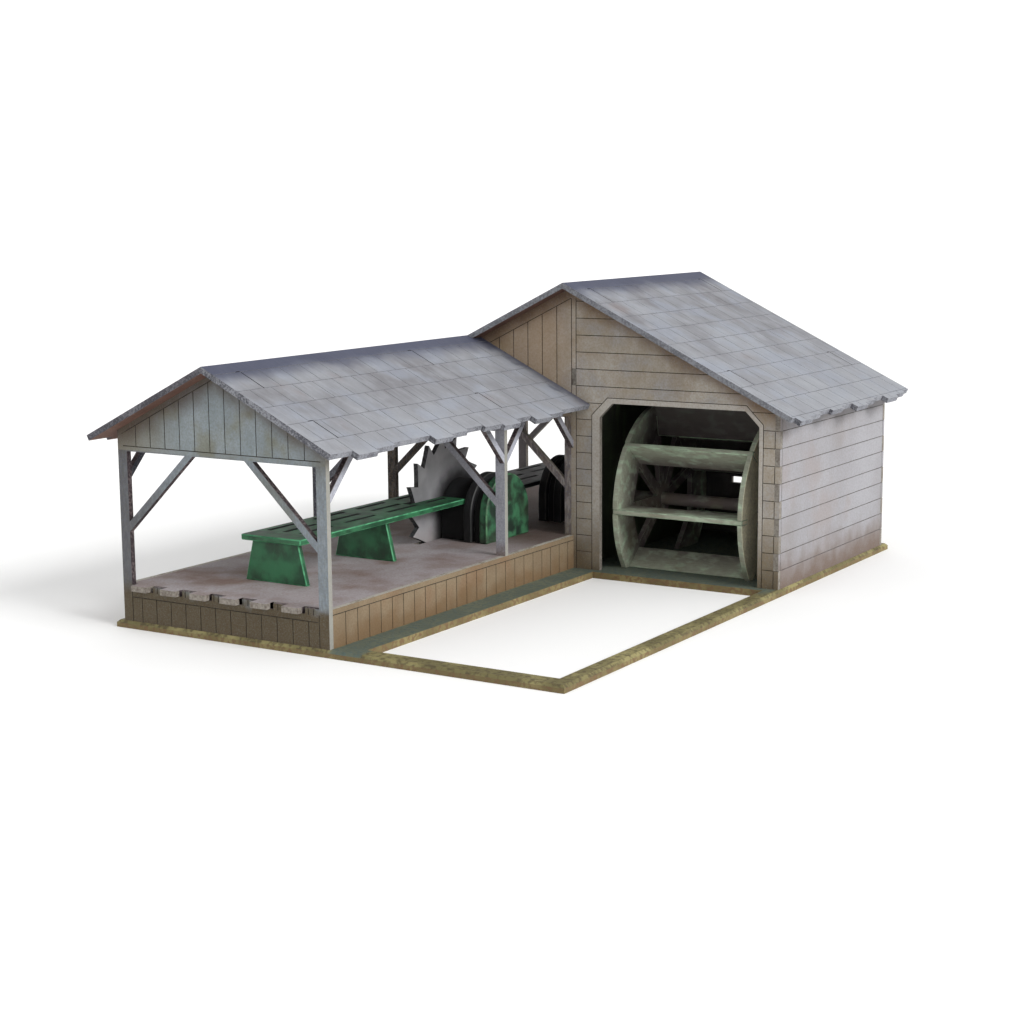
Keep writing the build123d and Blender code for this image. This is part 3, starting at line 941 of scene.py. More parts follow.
@dataclass
class Brush:
    """The paints of a dry-brushed piece: its body and its edges."""

    body: bpy.types.Material
    edge: bpy.types.Material


@dataclass
class Paints:
    """Every finished coat, brush and material, built once."""

    roofs: dict[str, Coat]
    tabs: dict[str, bpy.types.Material]
    gable: Coat
    frame: Coat
    rail: Coat
    skirt: Coat
    floor: Coat
    front_wall: Coat
    side_wall: Coat
    back_wall: Coat
    inner_wall: Coat
    base: Coat
    blade: Coat
    brushes: dict[str, Brush]
    bench_slot_shade: bpy.types.Material


@dataclass
class Piece:
    """What every dressed piece shares: the CAD node that it replaces and how its copy is made."""

    node: str

    def copy(self) -> bpy.types.Object:
        """A merged copy of the CAD node's mesh, as an object of its own at the origin.

        Returns:
            The object.
        """
        mesh = bpy.data.objects[FRAME["nodes"][self.node].name].data.copy()
        mesh.materials.clear()
        work = bmesh.new()
        work.from_mesh(mesh)
        bmesh.ops.remove_doubles(work, verts=work.verts, dist=MERGE_DISTANCE)
        bmesh.ops.dissolve_limit(work, angle_limit=FLAT_ANGLE, verts=work.verts, edges=work.edges)
        work.to_mesh(mesh)
        work.free()
        obj = bpy.data.objects.new(f"{self.node}_dressed", mesh)
        bpy.context.scene.collection.objects.link(obj)
        return obj

    def hand_over(self, obj: bpy.types.Object, slot: str) -> None:
        """Puts the finished object in the CAD node's place.

        Args:
            obj: the object.
            slot: the record's material slot; not used.
        """
        for polygon in obj.data.polygons:
            polygon.use_smooth = False
        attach(obj, "root")
        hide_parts(self.node)
        LOG.info("%s: %d faces", obj.name, len(obj.data.polygons))


@dataclass
class Sheet(Piece):
    """A flat sheet with engraved lines on one face."""

    axis: Vector
    surface: Vector
    lines: Sequence[LineSet] = ()
    slits: Sequence[LineSet] = ()
    depth: float = LINE_DEPTH

    @classmethod
    def facing(cls, node: str, side: Side, lines: Sequence[LineSet] = (), depth: float = LINE_DEPTH) -> "Sheet":
        """A sheet whose engraved face is one side of its box.

        Args:
            node: the CAD node.
            side: that side.
            lines: the lines on it.
            depth: their depth.

        Returns:
            The sheet.
        """
        return cls(node, Vector(side.value), side.corner(node), lines, depth=depth)

    def dress(self, engraver: Engraver, coat: Coat, slot: str) -> None:
        """Engraves and paints the sheet.

        Args:
            engraver: the trees.
            coat: the paints.
            slot: the record's material slot.
        """
        obj = self.copy()
        engraver.engrave(obj, self.lines, coat.line)
        engraver.paint(obj, self.axis, self.surface, self.depth, coat)
        engraver.engrave(obj, self.slits, coat.slit or coat.line)
        self.hand_over(obj, slot)


@dataclass
class BrushedPiece(Piece):
    """A piece whose edges caught a lighter paint from a dry brush."""

    edge_width: float
    edge_angle: float = 25.0
    rim: float = 1.2 * MM
    level: float = 0.95

    def dress(self, brush: Brush, slot: str, shaded_inside: Optional[bpy.types.Material] = None) -> None:
        """Bevels the edges and paints them lighter than the body.

        Args:
            brush: paints of the piece and of its edges.
            slot: the record's material slot.
            shaded_inside: paint of the edges that lie within the piece's outline, if they have their own.
        """
        obj = self.copy()
        obj.data.materials.append(brush.body)
        obj.data.materials.append(brush.edge)
        bevel = obj.modifiers.new("brushed_edges", "BEVEL")
        bevel.width = self.edge_width
        bevel.segments = 1
        bevel.limit_method = "ANGLE"
        bevel.angle_limit = math.radians(self.edge_angle)
        bevel.material = 1
        bevel.use_clamp_overlap = True
        bake(obj)
        if shaded_inside:
            self.paint_inside(obj.data, shaded_inside)
        self.hand_over(obj, slot)

    def paint_inside(self, mesh: bpy.types.Mesh, shaded_inside: bpy.types.Material) -> None:
        """Gives the slots' walls and edges, which lie within the outline, a dark paint as painted shade.

        Args:
            mesh: the piece's mesh.
            shaded_inside: the paint.
        """
        mesh.materials.append(shaded_inside)
        low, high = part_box(self.node)
        for polygon in mesh.polygons:
            place = polygon.center
            within = (low.x + self.rim < place.x < high.x - self.rim
                      and low.y + self.rim < place.y < high.y - self.rim)
            if within and abs(polygon.normal.z) < self.level:
                polygon.material_index = len(mesh.materials) - 1


@dataclass(frozen=True)
class RoofPlan:
    """What one roof has of its own: its ridge strip, its first shingle and the courses between its tabs."""

    part: str
    strip: float
    end_shingle: float
    tab_step: int


@dataclass
class Roofs:
    """The four roof slopes with their courses of shingles, and the formers under them."""

    course: float = 11.03 * MM
    shingle: float = 10.95 * MM
    line_width: float = 0.22 * MM
    line_depth: float = 0.18 * MM
    slit_width: float = 0.5 * MM
    slit_shift: float = 0.4
    tab_rows: int = 2
    sheet: float = 2.0 * MM
    plans: tuple[RoofPlan, ...] = (
        RoofPlan("shed", 5.8 * MM, 11.5 * MM, 3), RoofPlan("block", 6.3 * MM, 2.3 * MM, 6))

    def slope_sheet(self, plan: RoofPlan, node: str, side: int) -> Sheet:
        """One slope with its course lines, staggered joints and the slits beside the former's tabs.

        Args:
            plan: its roof.
            node: the CAD node.
            side: 1 for a slope that falls to the right, -1 to the left.

        Returns:
            The sheet.
        """
        low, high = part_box(node)
        angle = math.atan(ROOF_SLOPE)
        ridge = Vector((low.x if side > 0 else high.x, 0, high.z))
        down = Vector((side * math.cos(angle), 0, -math.sin(angle)))
        up = Vector((side * math.sin(angle), 0, math.cos(angle)))
        length = (high.x - low.x) / math.cos(angle)
        thick = 2 * self.line_depth
        start = ridge + down * plan.strip
        repeat = {"rows": int((length - plan.strip) / self.course) + 1, "row_step": tuple(down * self.course),
                  "rotation": (0.0, side * angle, 0.0)}
        across = LineSet(Vector((start.x, (low.y + high.y) / 2, start.z)),
                         (self.line_width, high.y - low.y + 2 * MM, thick), **repeat)
        first_joint = low.y + plan.end_shingle
        middle = start + down * self.course / 2
        joints = LineSet(
            Vector((middle.x, first_joint, middle.z)), (self.course - self.line_width / 2, self.line_width, thick),
            columns=int((high.y - first_joint) / self.shingle) + 2, column_step=(0, self.shingle, 0),
            stagger=-0.5, **repeat)
        slits = self.tab_slits(plan, start, down, repeat["rotation"], low.y, high.y)
        return Sheet(node, up, ridge, [across, joints], slits, self.line_depth)

    def tab_slits(self, plan: RoofPlan, start: Vector, down: Vector, turn: Triple, y0: float,
                  y1: float) -> list[LineSet]:
        """The open slits behind the tabs of the formers, and across their upper ends.

        Args:
            plan: the roof.
            start: the first course line on the slope.
            down: direction down the slope.
            turn: rotation of the slope.
            y0: front of the slope.
            y1: back of the slope.

        Returns:
            The slits.
        """
        repeat = {"rows": self.tab_rows, "row_step": tuple(down * self.course * plan.tab_step), "rotation": turn}
        thick = 4 * self.line_depth
        shift = self.slit_width * self.slit_shift
        centre = start + down * self.course / 2
        end = start - down * shift
        lines = []
        for name in ("front", "rear"):
            low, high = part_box(f"{plan.part}_former_{name}")
            if y0 < low.y < y1:
                lines += [
                    LineSet(Vector((centre.x, high.y + shift, centre.z)),
                            (self.course + self.slit_width, self.slit_width, thick), **repeat),
                    LineSet(Vector((end.x, (low.y + high.y) / 2, end.z)),
                            (self.slit_width, self.sheet, thick), **repeat)]
        return lines

    def dress(self, engraver: Engraver, paints: Paints) -> None:
        """Dresses the four slopes and the four formers.

        Args:
            engraver: the trees.
            paints: the paints.
        """
        for plan in self.plans:
            for name, side in (("left", -1), ("right", 1)):
                sheet = self.slope_sheet(plan, f"{plan.part}_roof_{name}", side)
                sheet.dress(engraver, paints.roofs[f"{plan.part}_{name}"], "roof_boards")
            for name in ("front", "rear"):
                coat = Coat(paints.frame.face, paints.frame.line, paints.tabs[plan.part])
                Sheet.facing(f"{plan.part}_former_{name}", Side.FRONT).dress(engraver, coat, "frame_board")


@dataclass(frozen=True)
class Face:
    """An upright face, and the lines on it by their place along it and their height."""

    side: Side
    at: float
    line_width: float
    line_depth: float

    def line(self, along: float, height: float, size: tuple[float, float], **repeat: Any) -> LineSet:
        """A line with its centre at a place of the face.

        Args:
            along: the centre's place along the face.
            height: the centre's height.
            size: size of the line along the face and upwards.
            repeat: how it repeats, turns and tapers.

        Returns:
            The line.
        """
        thick = 2 * self.line_depth
        if self.side.looks_along_y:
            return LineSet(Vector((along, self.at, height)), (size[0], thick, size[1]), **repeat)
        return LineSet(Vector((self.at, along, height)), (thick, *size), **repeat)

    def uprights(self, first: float, count: int, low: float, high: float, step: float = 0.0,
                 **taper: float) -> LineSet:
        """Upright lines.

        Args:
            first: place of the first along the face.
            count: how many there are.
            low: their foot.
            high: their top.
            step: distance between them.
            taper: centre and slope of the edge that they end under, if it slopes.

        Returns:
            The lines.
        """
        way = (step, 0, 0) if self.side.looks_along_y else (0, step, 0)
        return self.line(first, (low + high) / 2, (self.line_width, high - low), columns=count, column_step=way,
                         **taper)

    def level(self, start: float, end: float, first: float, count: int = 1, step: float = 0.0) -> LineSet:
        """Level lines.

        Args:
            start: one end of the lines.
            end: their other end.
            first: height of the lowest.
            count: how many there are.
            step: distance between them.

        Returns:
            The lines.
        """
        return self.line((start + end) / 2, first, (end - start, self.line_width), rows=count, row_step=(0, 0, step))

    def slanted(self, start: tuple[float, float], end: tuple[float, float]) -> LineSet:
        """A straight line on a face that looks along Y.

        Args:
            start: X and Z of its left end.
            end: X and Z of its right end.

        Returns:
            The line.
        """
        run = end[0] - start[0]
        rise = end[1] - start[1]
        return self.line((start[0] + end[0]) / 2, (start[1] + end[1]) / 2, (math.hypot(run, rise), self.line_width),
                         rotation=(0.0, -math.atan2(rise, run), 0.0))

    def rafter(self, ridge: float, top: float, reach: float, half: int) -> LineSet:
        """A line parallel to the roof, from the ridge down one half of a gable.

        Args:
            ridge: place of the ridge.
            top: height of the line at the ridge.
            reach: how far it goes from the ridge.
            half: 1 for the right half, -1 for the left.

        Returns:
            The line.
        """
        ends = ((ridge, top), (ridge + half * reach, top - ROOF_SLOPE * reach))
        return self.slanted(min(ends), max(ends))


@dataclass
class Walls:
    """Frames, skirts and boarded walls."""

    sheet: float = 2.0 * MM
    board: float = 6.57 * MM
    wall_board: float = 6.5 * MM
    first_board: float = 7.0 * MM
    line_width: float = 0.28 * MM
    line_depth: float = LINE_DEPTH
    side_wall_depth: float = 0.2 * MM
    over: float = 1.0 * MM
    post: float = 4.0 * MM
    base_top: float = 2.5 * MM
    front_skirt_line: float = 11.1 * MM
    side_skirt_line: float = 13.6 * MM
    side_skirt_start: float = 6.8 * MM
    beam_line: float = 63.7 * MM
    beam_start: float = 2.5 * MM
    shed_rafter: float = 2.0 * MM
    block_rafter: float = 4.0 * MM
    shed_lines: int = 12
    block_lines: int = 13
    tabs: int = 6
    tab_width: float = 6.9 * MM
    tab_pitch: float = 13.15 * MM
    tab_inset: float = 5.3 * MM
    tab_low: float = 13.5 * MM
    tab_gap: Triple = (1.3 * MM, 2.3 * MM, 2.6 * MM)
    tab_gap_height: float = 14.8 * MM
    ticks: int = 38
    tick_pitch: float = 2.1 * MM
    tick_low: float = 13.3 * MM
    tick_high: float = 16.5 * MM
    trim_left: float = 9.2 * MM
    trim_right: float = 81.3 * MM
    trim_top: float = 70.3 * MM
    trim_slant: float = 6.9 * MM
    strip_left: float = 0.25 * MM
    strip_right: float = 2.3 * MM
    side_wall_tabs: int = 5

    def face(self, node: str, side: Side) -> Face:
        """The face on one side of a node."""
        corner = side.corner(node)
        return Face(side, corner.y if side.looks_along_y else corner.x, self.line_width, self.line_depth)

    def gable_frame(self, node: str) -> Sheet:
        """A shed frame with its beam, its rafters and its boarded gable."""
        return Sheet.facing(node, Side.FRONT, self.gable_lines(node))

    def gable_lines(self, node: str) -> list[LineSet]:
        """The lines of a shed frame's gable.

        Args:
            node: the CAD node.

        Returns:
            The lines.
        """
        low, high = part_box(node)
        face = self.face(node, Side.FRONT)
        ridge = (low.x + high.x) / 2
        top = high.z - self.shed_rafter
        reach = min((top - self.beam_line) / ROOF_SLOPE, (high.x - low.x) / 2 - self.sheet)
        first = ridge - (self.shed_lines - 1) / 2 * self.board
        return [
            face.level(low.x + self.beam_start, high.x - self.sheet, self.beam_line),
            face.rafter(ridge, top, reach, 1),
            face.rafter(ridge, top, reach, -1),
            face.uprights(first, self.shed_lines, self.beam_line, top, self.board, taper_centre=ridge,
                          taper=ROOF_SLOPE)]

    def front_frame(self, node: str) -> Sheet:
        """The front frame, which also has a boarded skirt, and gaps and ticks beside the floor's tabs.

        Args:
            node: the CAD node.

        Returns:
            The sheet.
        """
        low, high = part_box(node)
        face = self.face(node, Side.FRONT)
        first = (low.x + high.x) / 2 - (self.shed_lines - 1) / 2 * self.board
        left = low.x + self.post
        right = high.x - self.post
        foot = low.z - self.over
        gap = low.x + self.tab_inset + self.tab_width + self.tab_gap[0] / 2
        return Sheet.facing(node, Side.FRONT, self.gable_lines(node) + [
            face.uprights(first, self.shed_lines, foot, self.front_skirt_line, self.board),
            face.uprights(left, 2, foot, self.tab_low, right - left),
            face.level(left, right, self.front_skirt_line),
            face.uprights(left + self.over, self.ticks, self.tick_low, self.tick_high, self.tick_pitch),
            LineSet(Vector((gap, low.y + self.sheet / 2, self.tab_gap_height)), self.tab_gap, columns=self.tabs,
                    column_step=(self.tab_pitch, 0, 0))])

    def side_skirt(self, node: str, side: Side) -> Sheet:
        """A skirt with upright boards below a level line.

        Args:
            node: the CAD node.
            side: the side that it closes.

        Returns:
            The sheet.
        """
        low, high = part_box(node)
        face = self.face(node, side)
        first = low.y + self.side_skirt_start
        count = int((high.y - first) / self.board) + 1
        return Sheet.facing(node, side, [
            face.uprights(first, count, low.z - self.over, self.side_skirt_line, self.board),
            face.level(low.y - self.over, high.y + self.over, self.side_skirt_line)])

    def side_wall(self, node: str) -> Sheet:
        """The wheel house's side wall, with level boards between the ends of the front and back walls.

        Args:
            node: the CAD node.

        Returns:
            The sheet.
        """
        low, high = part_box(node)
        face = self.face(node, Side.RIGHT)
        first = low.z + self.first_board
        count = int((high.z - first) / self.wall_board) + 1
        return Sheet.facing(node, Side.RIGHT, [
            face.level(low.y - self.over, high.y + self.over, first, count, self.wall_board),
            face.uprights(low.y + self.sheet, 2, low.z - self.over, high.z + self.over,
                          high.y - low.y - 2 * self.sheet)], self.side_wall_depth)

    def board_heights(self, top: float) -> list[float]:
        """Heights of the block's level board lines below a height."""
        first = self.base_top + self.first_board
        return [first + number * self.wall_board for number in range(math.ceil((top - first) / self.wall_board))]

    def block_front(self, node: str) -> Sheet:
        """The block's front wall: level boards on the right, upright in the left half of the gable.

        Args:
            node: the CAD node.

        Returns:
            The sheet.
        """
        low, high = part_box(node)
        face = self.face(node, Side.FRONT)
        ridge = (low.x + high.x) / 2
        top = high.z - self.block_rafter
        left = ridge + self.strip_left
        right = ridge + self.strip_right
        trim_left = ridge + self.trim_left
        trim_right = ridge + self.trim_right
        shoulder = self.trim_top - self.trim_slant
        lines = []
        for height in self.board_heights(top):
            reach = min(high.x + self.over, ridge + (high.z - height) / ROOF_SLOPE)
            if height > self.trim_top:
                lines.append(face.level(right, reach, height))
                continue
            inward = max(0.0, height - shoulder)
            lines.append(face.level(right, trim_left + inward, height))
            lines.append(face.level(trim_right - inward, reach, height))
        first = left - self.block_lines * self.board
        lines += [
            face.level(low.x + self.beam_start, left, self.beam_line),
            face.rafter(ridge, top, ridge - first, -1),
            face.uprights(left, 1, self.beam_line, top),
            face.uprights(right, 1, self.base_top, top),
            face.uprights(first, self.block_lines, self.beam_line, top, self.board, taper_centre=ridge,
                          taper=ROOF_SLOPE),
            face.uprights(trim_left, 2, self.base_top, shoulder, trim_right - trim_left),
            face.slanted((trim_left, shoulder), (trim_left + self.trim_slant, self.trim_top)),
            face.slanted((trim_right - self.trim_slant, self.trim_top), (trim_right, shoulder)),
            face.level(trim_left + self.trim_slant, trim_right - self.trim_slant, self.trim_top),
            face.line(high.x - self.sheet, self.base_top + self.first_board / 2, (self.line_width, self.wall_board),
                      rows=self.side_wall_tabs, row_step=(0, 0, 2 * self.wall_board))]
        return Sheet.facing(node, Side.FRONT, lines)

    def block_back(self, node: str) -> Sheet:
        """The back wall, boarded level all over its closed part.

        Args:
            node: the CAD node.

        Returns:
            The sheet.
        """
        low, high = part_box(node)
        face = self.face(node, Side.BACK)
        ridge = (low.x + high.x) / 2
        lines = []
        for height in self.board_heights(high.z - self.block_rafter):
            reach = min(high.x + self.over, ridge + (high.z - height) / ROOF_SLOPE)
            start = ridge + self.sheet if height < self.beam_line else 2 * ridge - reach
            lines.append(face.level(start, reach, height))
        return Sheet.facing(node, Side.BACK, lines)

    def dress(self, engraver: Engraver, paints: Paints) -> None:
        """Dresses every frame, skirt, rail and wall.

        Args:
            engraver: the trees.
            paints: the paints.
        """
        for sheet, coat, slot in (
                (self.front_frame("front_frame"), paints.gable, "frame_board"),
                (self.gable_frame("middle_frame"), paints.frame, "frame_board"),
                (self.side_skirt("right_skirt", Side.RIGHT), paints.skirt, "frame_board"),
                (self.side_skirt("left_skirt", Side.LEFT), paints.skirt, "frame_board"),
                (Sheet.facing("right_eave_rail", Side.RIGHT), paints.rail, "frame_board"),
                (Sheet.facing("left_eave_rail", Side.RIGHT), paints.rail, "frame_board"),
                (self.side_wall("wheel_house_side_wall"), paints.side_wall, "wall_board"),
                (Sheet.facing("wheel_house_inner_wall", Side.RIGHT), paints.inner_wall, "wall_board"),
                (self.block_front("block_front_wall"), paints.front_wall, "wall_board"),
                (self.block_back("block_back_wall"), paints.back_wall, "wall_board")):
            sheet.dress(engraver, coat, slot)


@dataclass
class Ground:
    """The base plate and the platform floor."""

    def dress(self, engraver: Engraver, paints: Paints) -> None:
        """Dresses both."""
        Sheet.facing("base_plate", Side.TOP).dress(engraver, paints.base, "base_board")
        Sheet.facing("platform_floor", Side.TOP).dress(engraver, paints.floor, "floor_board")


@dataclass
class Machinery:
    """The saw, its benches and housings, and the water wheel."""

    edge: float = 0.35 * MM
    plate_edge: float = 0.5 * MM

    def dress(self, engraver: Engraver, paints: Paints) -> None:
        """Dresses every machine piece by the start of the CAD node's name, and the blade.

        Args:
            engraver: the trees.
            paints: the paints.
        """
        looks = {
            ("rear_bench",): ("far_bench", "bench_board"),
            ("saw_bench",): ("bench", "bench_board"),
            ("drive_plate_right",): ("plate", "housing_board"),
            ("blade_guard", "drive_", "rear_"): ("drum", "housing_board"),
            ("wheel_axle", "wheel_paddle", "wheel_rim"): ("wheel", "wheel_board")}
        for node in sorted(FRAME["nodes"]):
            found = [look for starts, look in looks.items() if node.startswith(starts)]
            if found:
                brush, slot = found[0]
                # Bench slot walls get dark paint: painted shade.
                shaded_inside = paints.bench_slot_shade if node.endswith("bench_top") else None
                width = self.plate_edge if brush == "plate" else self.edge
                BrushedPiece(node, width).dress(paints.brushes[brush], slot, shaded_inside)
        Sheet.facing("saw_blade", Side.RIGHT).dress(engraver, paints.blade, "blade_board")


@dataclass
class Studio:
    """Floor, backdrop, lights and camera."""

    camera_place: Triple = (362.24 * MM, -602.78 * MM, 145.43 * MM)
    yaw: float = 31.80
    pitch: float = -9.47
    roll: float = 0.43
    lens: float = 65.72
    sensor: float = 36.0
    nearest: float = 0.01
    farthest: float = 50.0
    radius: float = 4.0
    cove: float = 0.5
    height: float = 1.5
    segments: int = 64
    cove_steps: int = 8
    floor_colour: Colour = (0.9, 0.9, 0.895)
    floor_roughness: float = 0.95
    floor_specular: float = 0.1
    sun_from: Triple = (0.87, -0.08, 0.5)
    sun_strength: float = 3.0
    sun_angle: float = 28.0
    sky: float = 0.8

    def set_up(self) -> None:
        """Makes the backdrop, the sun, the world and the camera."""
        self.backdrop()
        sun = bpy.data.lights.new("sun", "SUN")
        sun.energy = self.sun_strength
        sun.angle = math.radians(self.sun_angle)
        obj = bpy.data.objects.new("sun", sun)
        obj.rotation_euler = (-Vector(self.sun_from)).to_track_quat("-Z", "Y").to_euler()
        bpy.context.scene.collection.objects.link(obj)
        world = bpy.data.worlds.new("studio")
        world.use_nodes = True
        background = world.node_tree.nodes["Background"]
        background.inputs["Color"].default_value = (1.0, 1.0, 1.0, 1.0)
        background.inputs["Strength"].default_value = self.sky
        bpy.context.scene.world = world
        bpy.context.scene.view_settings.view_transform = "Standard"
        self.camera()

    def backdrop(self) -> None:
        """A round pale floor that curves up into a low round wall."""
        profile = [(0.0, 0.0), (self.radius - self.cove, 0.0)]
        for step in range(1, self.cove_steps + 1):
            turn = math.pi / 2 * step / self.cove_steps
            profile.append((self.radius - self.cove + self.cove * math.sin(turn), self.cove * (1 - math.cos(turn))))
        profile.append((self.radius, self.height))
        work = bmesh.new()
        verts = [work.verts.new((r, 0, z)) for r, z in profile]
        edges = [work.edges.new(pair) for pair in zip(verts, verts[1:])]
        bmesh.ops.spin(work, geom=verts + edges, axis=(0, 0, 1), cent=(0, 0, 0), angle=2 * math.pi,
                       steps=self.segments)
        bmesh.ops.remove_doubles(work, verts=work.verts, dist=0.01 * MM)
        bmesh.ops.recalc_face_normals(work, faces=work.faces)
        mesh = bpy.data.meshes.new("studio_backdrop")
        work.to_mesh(mesh)
        work.free()
        for polygon in mesh.polygons:
            polygon.use_smooth = True
        shader = Shader("studio_backdrop")
        mesh.materials.append(shader.finish(
            self.floor_colour, self.floor_roughness, Specular_IOR_Level=self.floor_specular))
        obj = bpy.data.objects.new("studio_backdrop", mesh)
        bpy.context.scene.collection.objects.link(obj)

    def camera(self) -> None:
        """The camera at the photograph's place."""
        data = bpy.data.cameras.new("camera")
        data.lens = self.lens
        data.sensor_width = self.sensor
        data.clip_start = self.nearest
        data.clip_end = self.farthest
        obj = bpy.data.objects.new("camera", data)
        turn = Matrix.Identity(4)
        for angle, axis in ((self.yaw, "Z"), (90 + self.pitch, "X"), (-self.roll, "Z")):
            turn = turn @ Matrix.Rotation(math.radians(angle), 4, axis)
        obj.matrix_world = Matrix.Translation(self.camera_place) @ turn
        bpy.context.scene.collection.objects.link(obj)
        bpy.context.scene.camera = obj


def roof_coats() -> tuple[dict[str, Coat], dict[str, bpy.types.Material]]:
    """The coats of the four slopes, and the paint on the tabs of each roof's formers.

    Returns:
        Coats by slope and paints by roof.
    """
    looks = {"base": srgb(130, 132, 137), "light": srgb(152, 155, 161), "dark": srgb(104, 103, 107),
             "ridge": srgb(50, 54, 76), "ridge_width": 12 * MM}
    line = CutEdge("roof_line", srgb(98, 99, 104), srgb(126, 128, 134), 0.5).build()
    # Near-black walls of the slits beside the formers' tabs: painted shade.
    slit = CutEdge("roof_slit_shade", srgb(18, 17, 20), srgb(34, 34, 38), 0.3).build()
    # Both roof edge paints darken where they face the front: painted shade.
    edges = {
        "left": CutEdge("roof_edge_left", srgb(70, 68, 74), srgb(112, 112, 118), 0.5, 0.6,
                        softness=0.14, grit_mm=0.05, front=srgb(58, 56, 62)).build(),
        "right": CutEdge("roof_edge_right", srgb(84, 84, 92), srgb(140, 142, 148), 0.6, 0.6,
                         softness=0.14, grit_mm=0.05, front=srgb(66, 66, 72)).build()}
    under = WeatheredPaint("roof_underside", srgb(104, 72, 60), srgb(122, 92, 78), srgb(76, 52, 44),
                           srgb(98, 74, 64), foot_strength=0.0).build()
    coats = {}
    tabs = {}
    for part in ("shed", "block"):
        for side in ("left", "right"):
            low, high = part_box(f"{part}_roof_{side}")
            ends = (high.x, low.x) if side == "left" else (low.x, high.x)
            # The shed's right slope gets painted shade beside the block's front wall.
            wall_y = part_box("block_front_wall")[0].y if (part, side) == ("shed", "right") else None
            face = RoofPaint(f"{part}_{side}_roof_paint", ridge_x=ends[0], eave_x=ends[1], wall_y=wall_y,
                             **looks).build()
            coats[f"{part}_{side}"] = Coat(face, line, edges[side], under, slit)
            tabs[part] = face
    return coats, tabs


def machine_brushes() -> dict[str, Brush]:
    """The paints of the benches, the housings and the wheel.

    Returns:
        The brushes by what they dress.
    """
    axle_low, axle_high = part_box("wheel_axle")
    built = {paint.name: paint.build() for paint in (
        MachinePaint("bench_paint", srgb(20, 68, 42), srgb(44, 108, 70), srgb(38, 42, 30), 0.55, 7.0),
        MachinePaint("bench_brush", srgb(44, 118, 78), srgb(92, 176, 126), srgb(44, 84, 58), 0.6, 4.0),
        MachinePaint("far_bench_paint", srgb(26, 28, 30), srgb(46, 48, 50), srgb(22, 20, 22), 0.4),
        MachinePaint("far_bench_brush", srgb(76, 80, 80), srgb(128, 134, 132), srgb(40, 70, 54), 0.6, 5.0),
        MachinePaint("drum_paint", srgb(16, 16, 19), srgb(28, 30, 32), srgb(20, 18, 17), 0.35, roughness=0.8),
        MachinePaint("drum_brush", srgb(34, 35, 35), srgb(66, 66, 62), srgb(24, 30, 26), 0.5),
        MachinePaint("plate_paint", srgb(24, 42, 32), srgb(58, 112, 78), srgb(46, 42, 30), 0.5, 5.0),
        MachinePaint("plate_brush", srgb(36, 58, 40), srgb(80, 136, 92), srgb(48, 42, 32), 0.5, 4.0),
        WetWood("wheel_paint", srgb(160, 165, 146), srgb(184, 206, 178), srgb(94, 85, 83), srgb(96, 86, 66),
                (axle_low + axle_high) / 2, 24 * MM, 39 * MM, srgb(70, 62, 62), srgb(240, 232, 200),
                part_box("wheel_rim_right")[1].x),
        MachinePaint("wheel_brush", srgb(128, 140, 122), srgb(174, 196, 168), srgb(104, 98, 72), 0.6, 5.0))}
    return {name: Brush(built[f"{name}_paint"], built[f"{name}_brush"])
            for name in ("bench", "far_bench", "drum", "plate", "wheel")}


def blade_coat() -> Coat:
    """The saw blade's steel, with painted shadow of the guard beside it.

    Returns:
        The coat.
    """
    low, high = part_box("blade_guard")
    radius = (high.y - low.y) / 2
    centre = Vector((high.x, (low.y + high.y) / 2, high.z - radius))
    steel = SawSteel("blade_paint", srgb(166, 165, 169), srgb(192, 191, 194), srgb(12, 12, 14),
                     srgb(128, 112, 100), centre, radius, 9 * MM).build()
    return Coat(steel, steel, CutEdge("blade_edge", srgb(50, 50, 52), srgb(78, 78, 80), 0.4).build())


def base_coat() -> Coat:
    """The base plate's paint, with moss on the ledges round the pond.

    Returns:
        The coat.
    """
    shed_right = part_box("front_frame")[1].x
    block_low, block_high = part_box("block_front_wall")
    paint = BasePaint("base_paint", srgb(104, 97, 60), srgb(138, 130, 86), srgb(62, 50, 34), srgb(76, 90, 84),
                      srgb(112, 88, 58), ledge_left=shed_right, ledge_right=shed_right + 10.5 * MM,
                      ledge_back=block_low.y, house_right=block_high.x,
                      house_back=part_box("block_back_wall")[1].y).build()
    return Coat(paint, paint, paint)


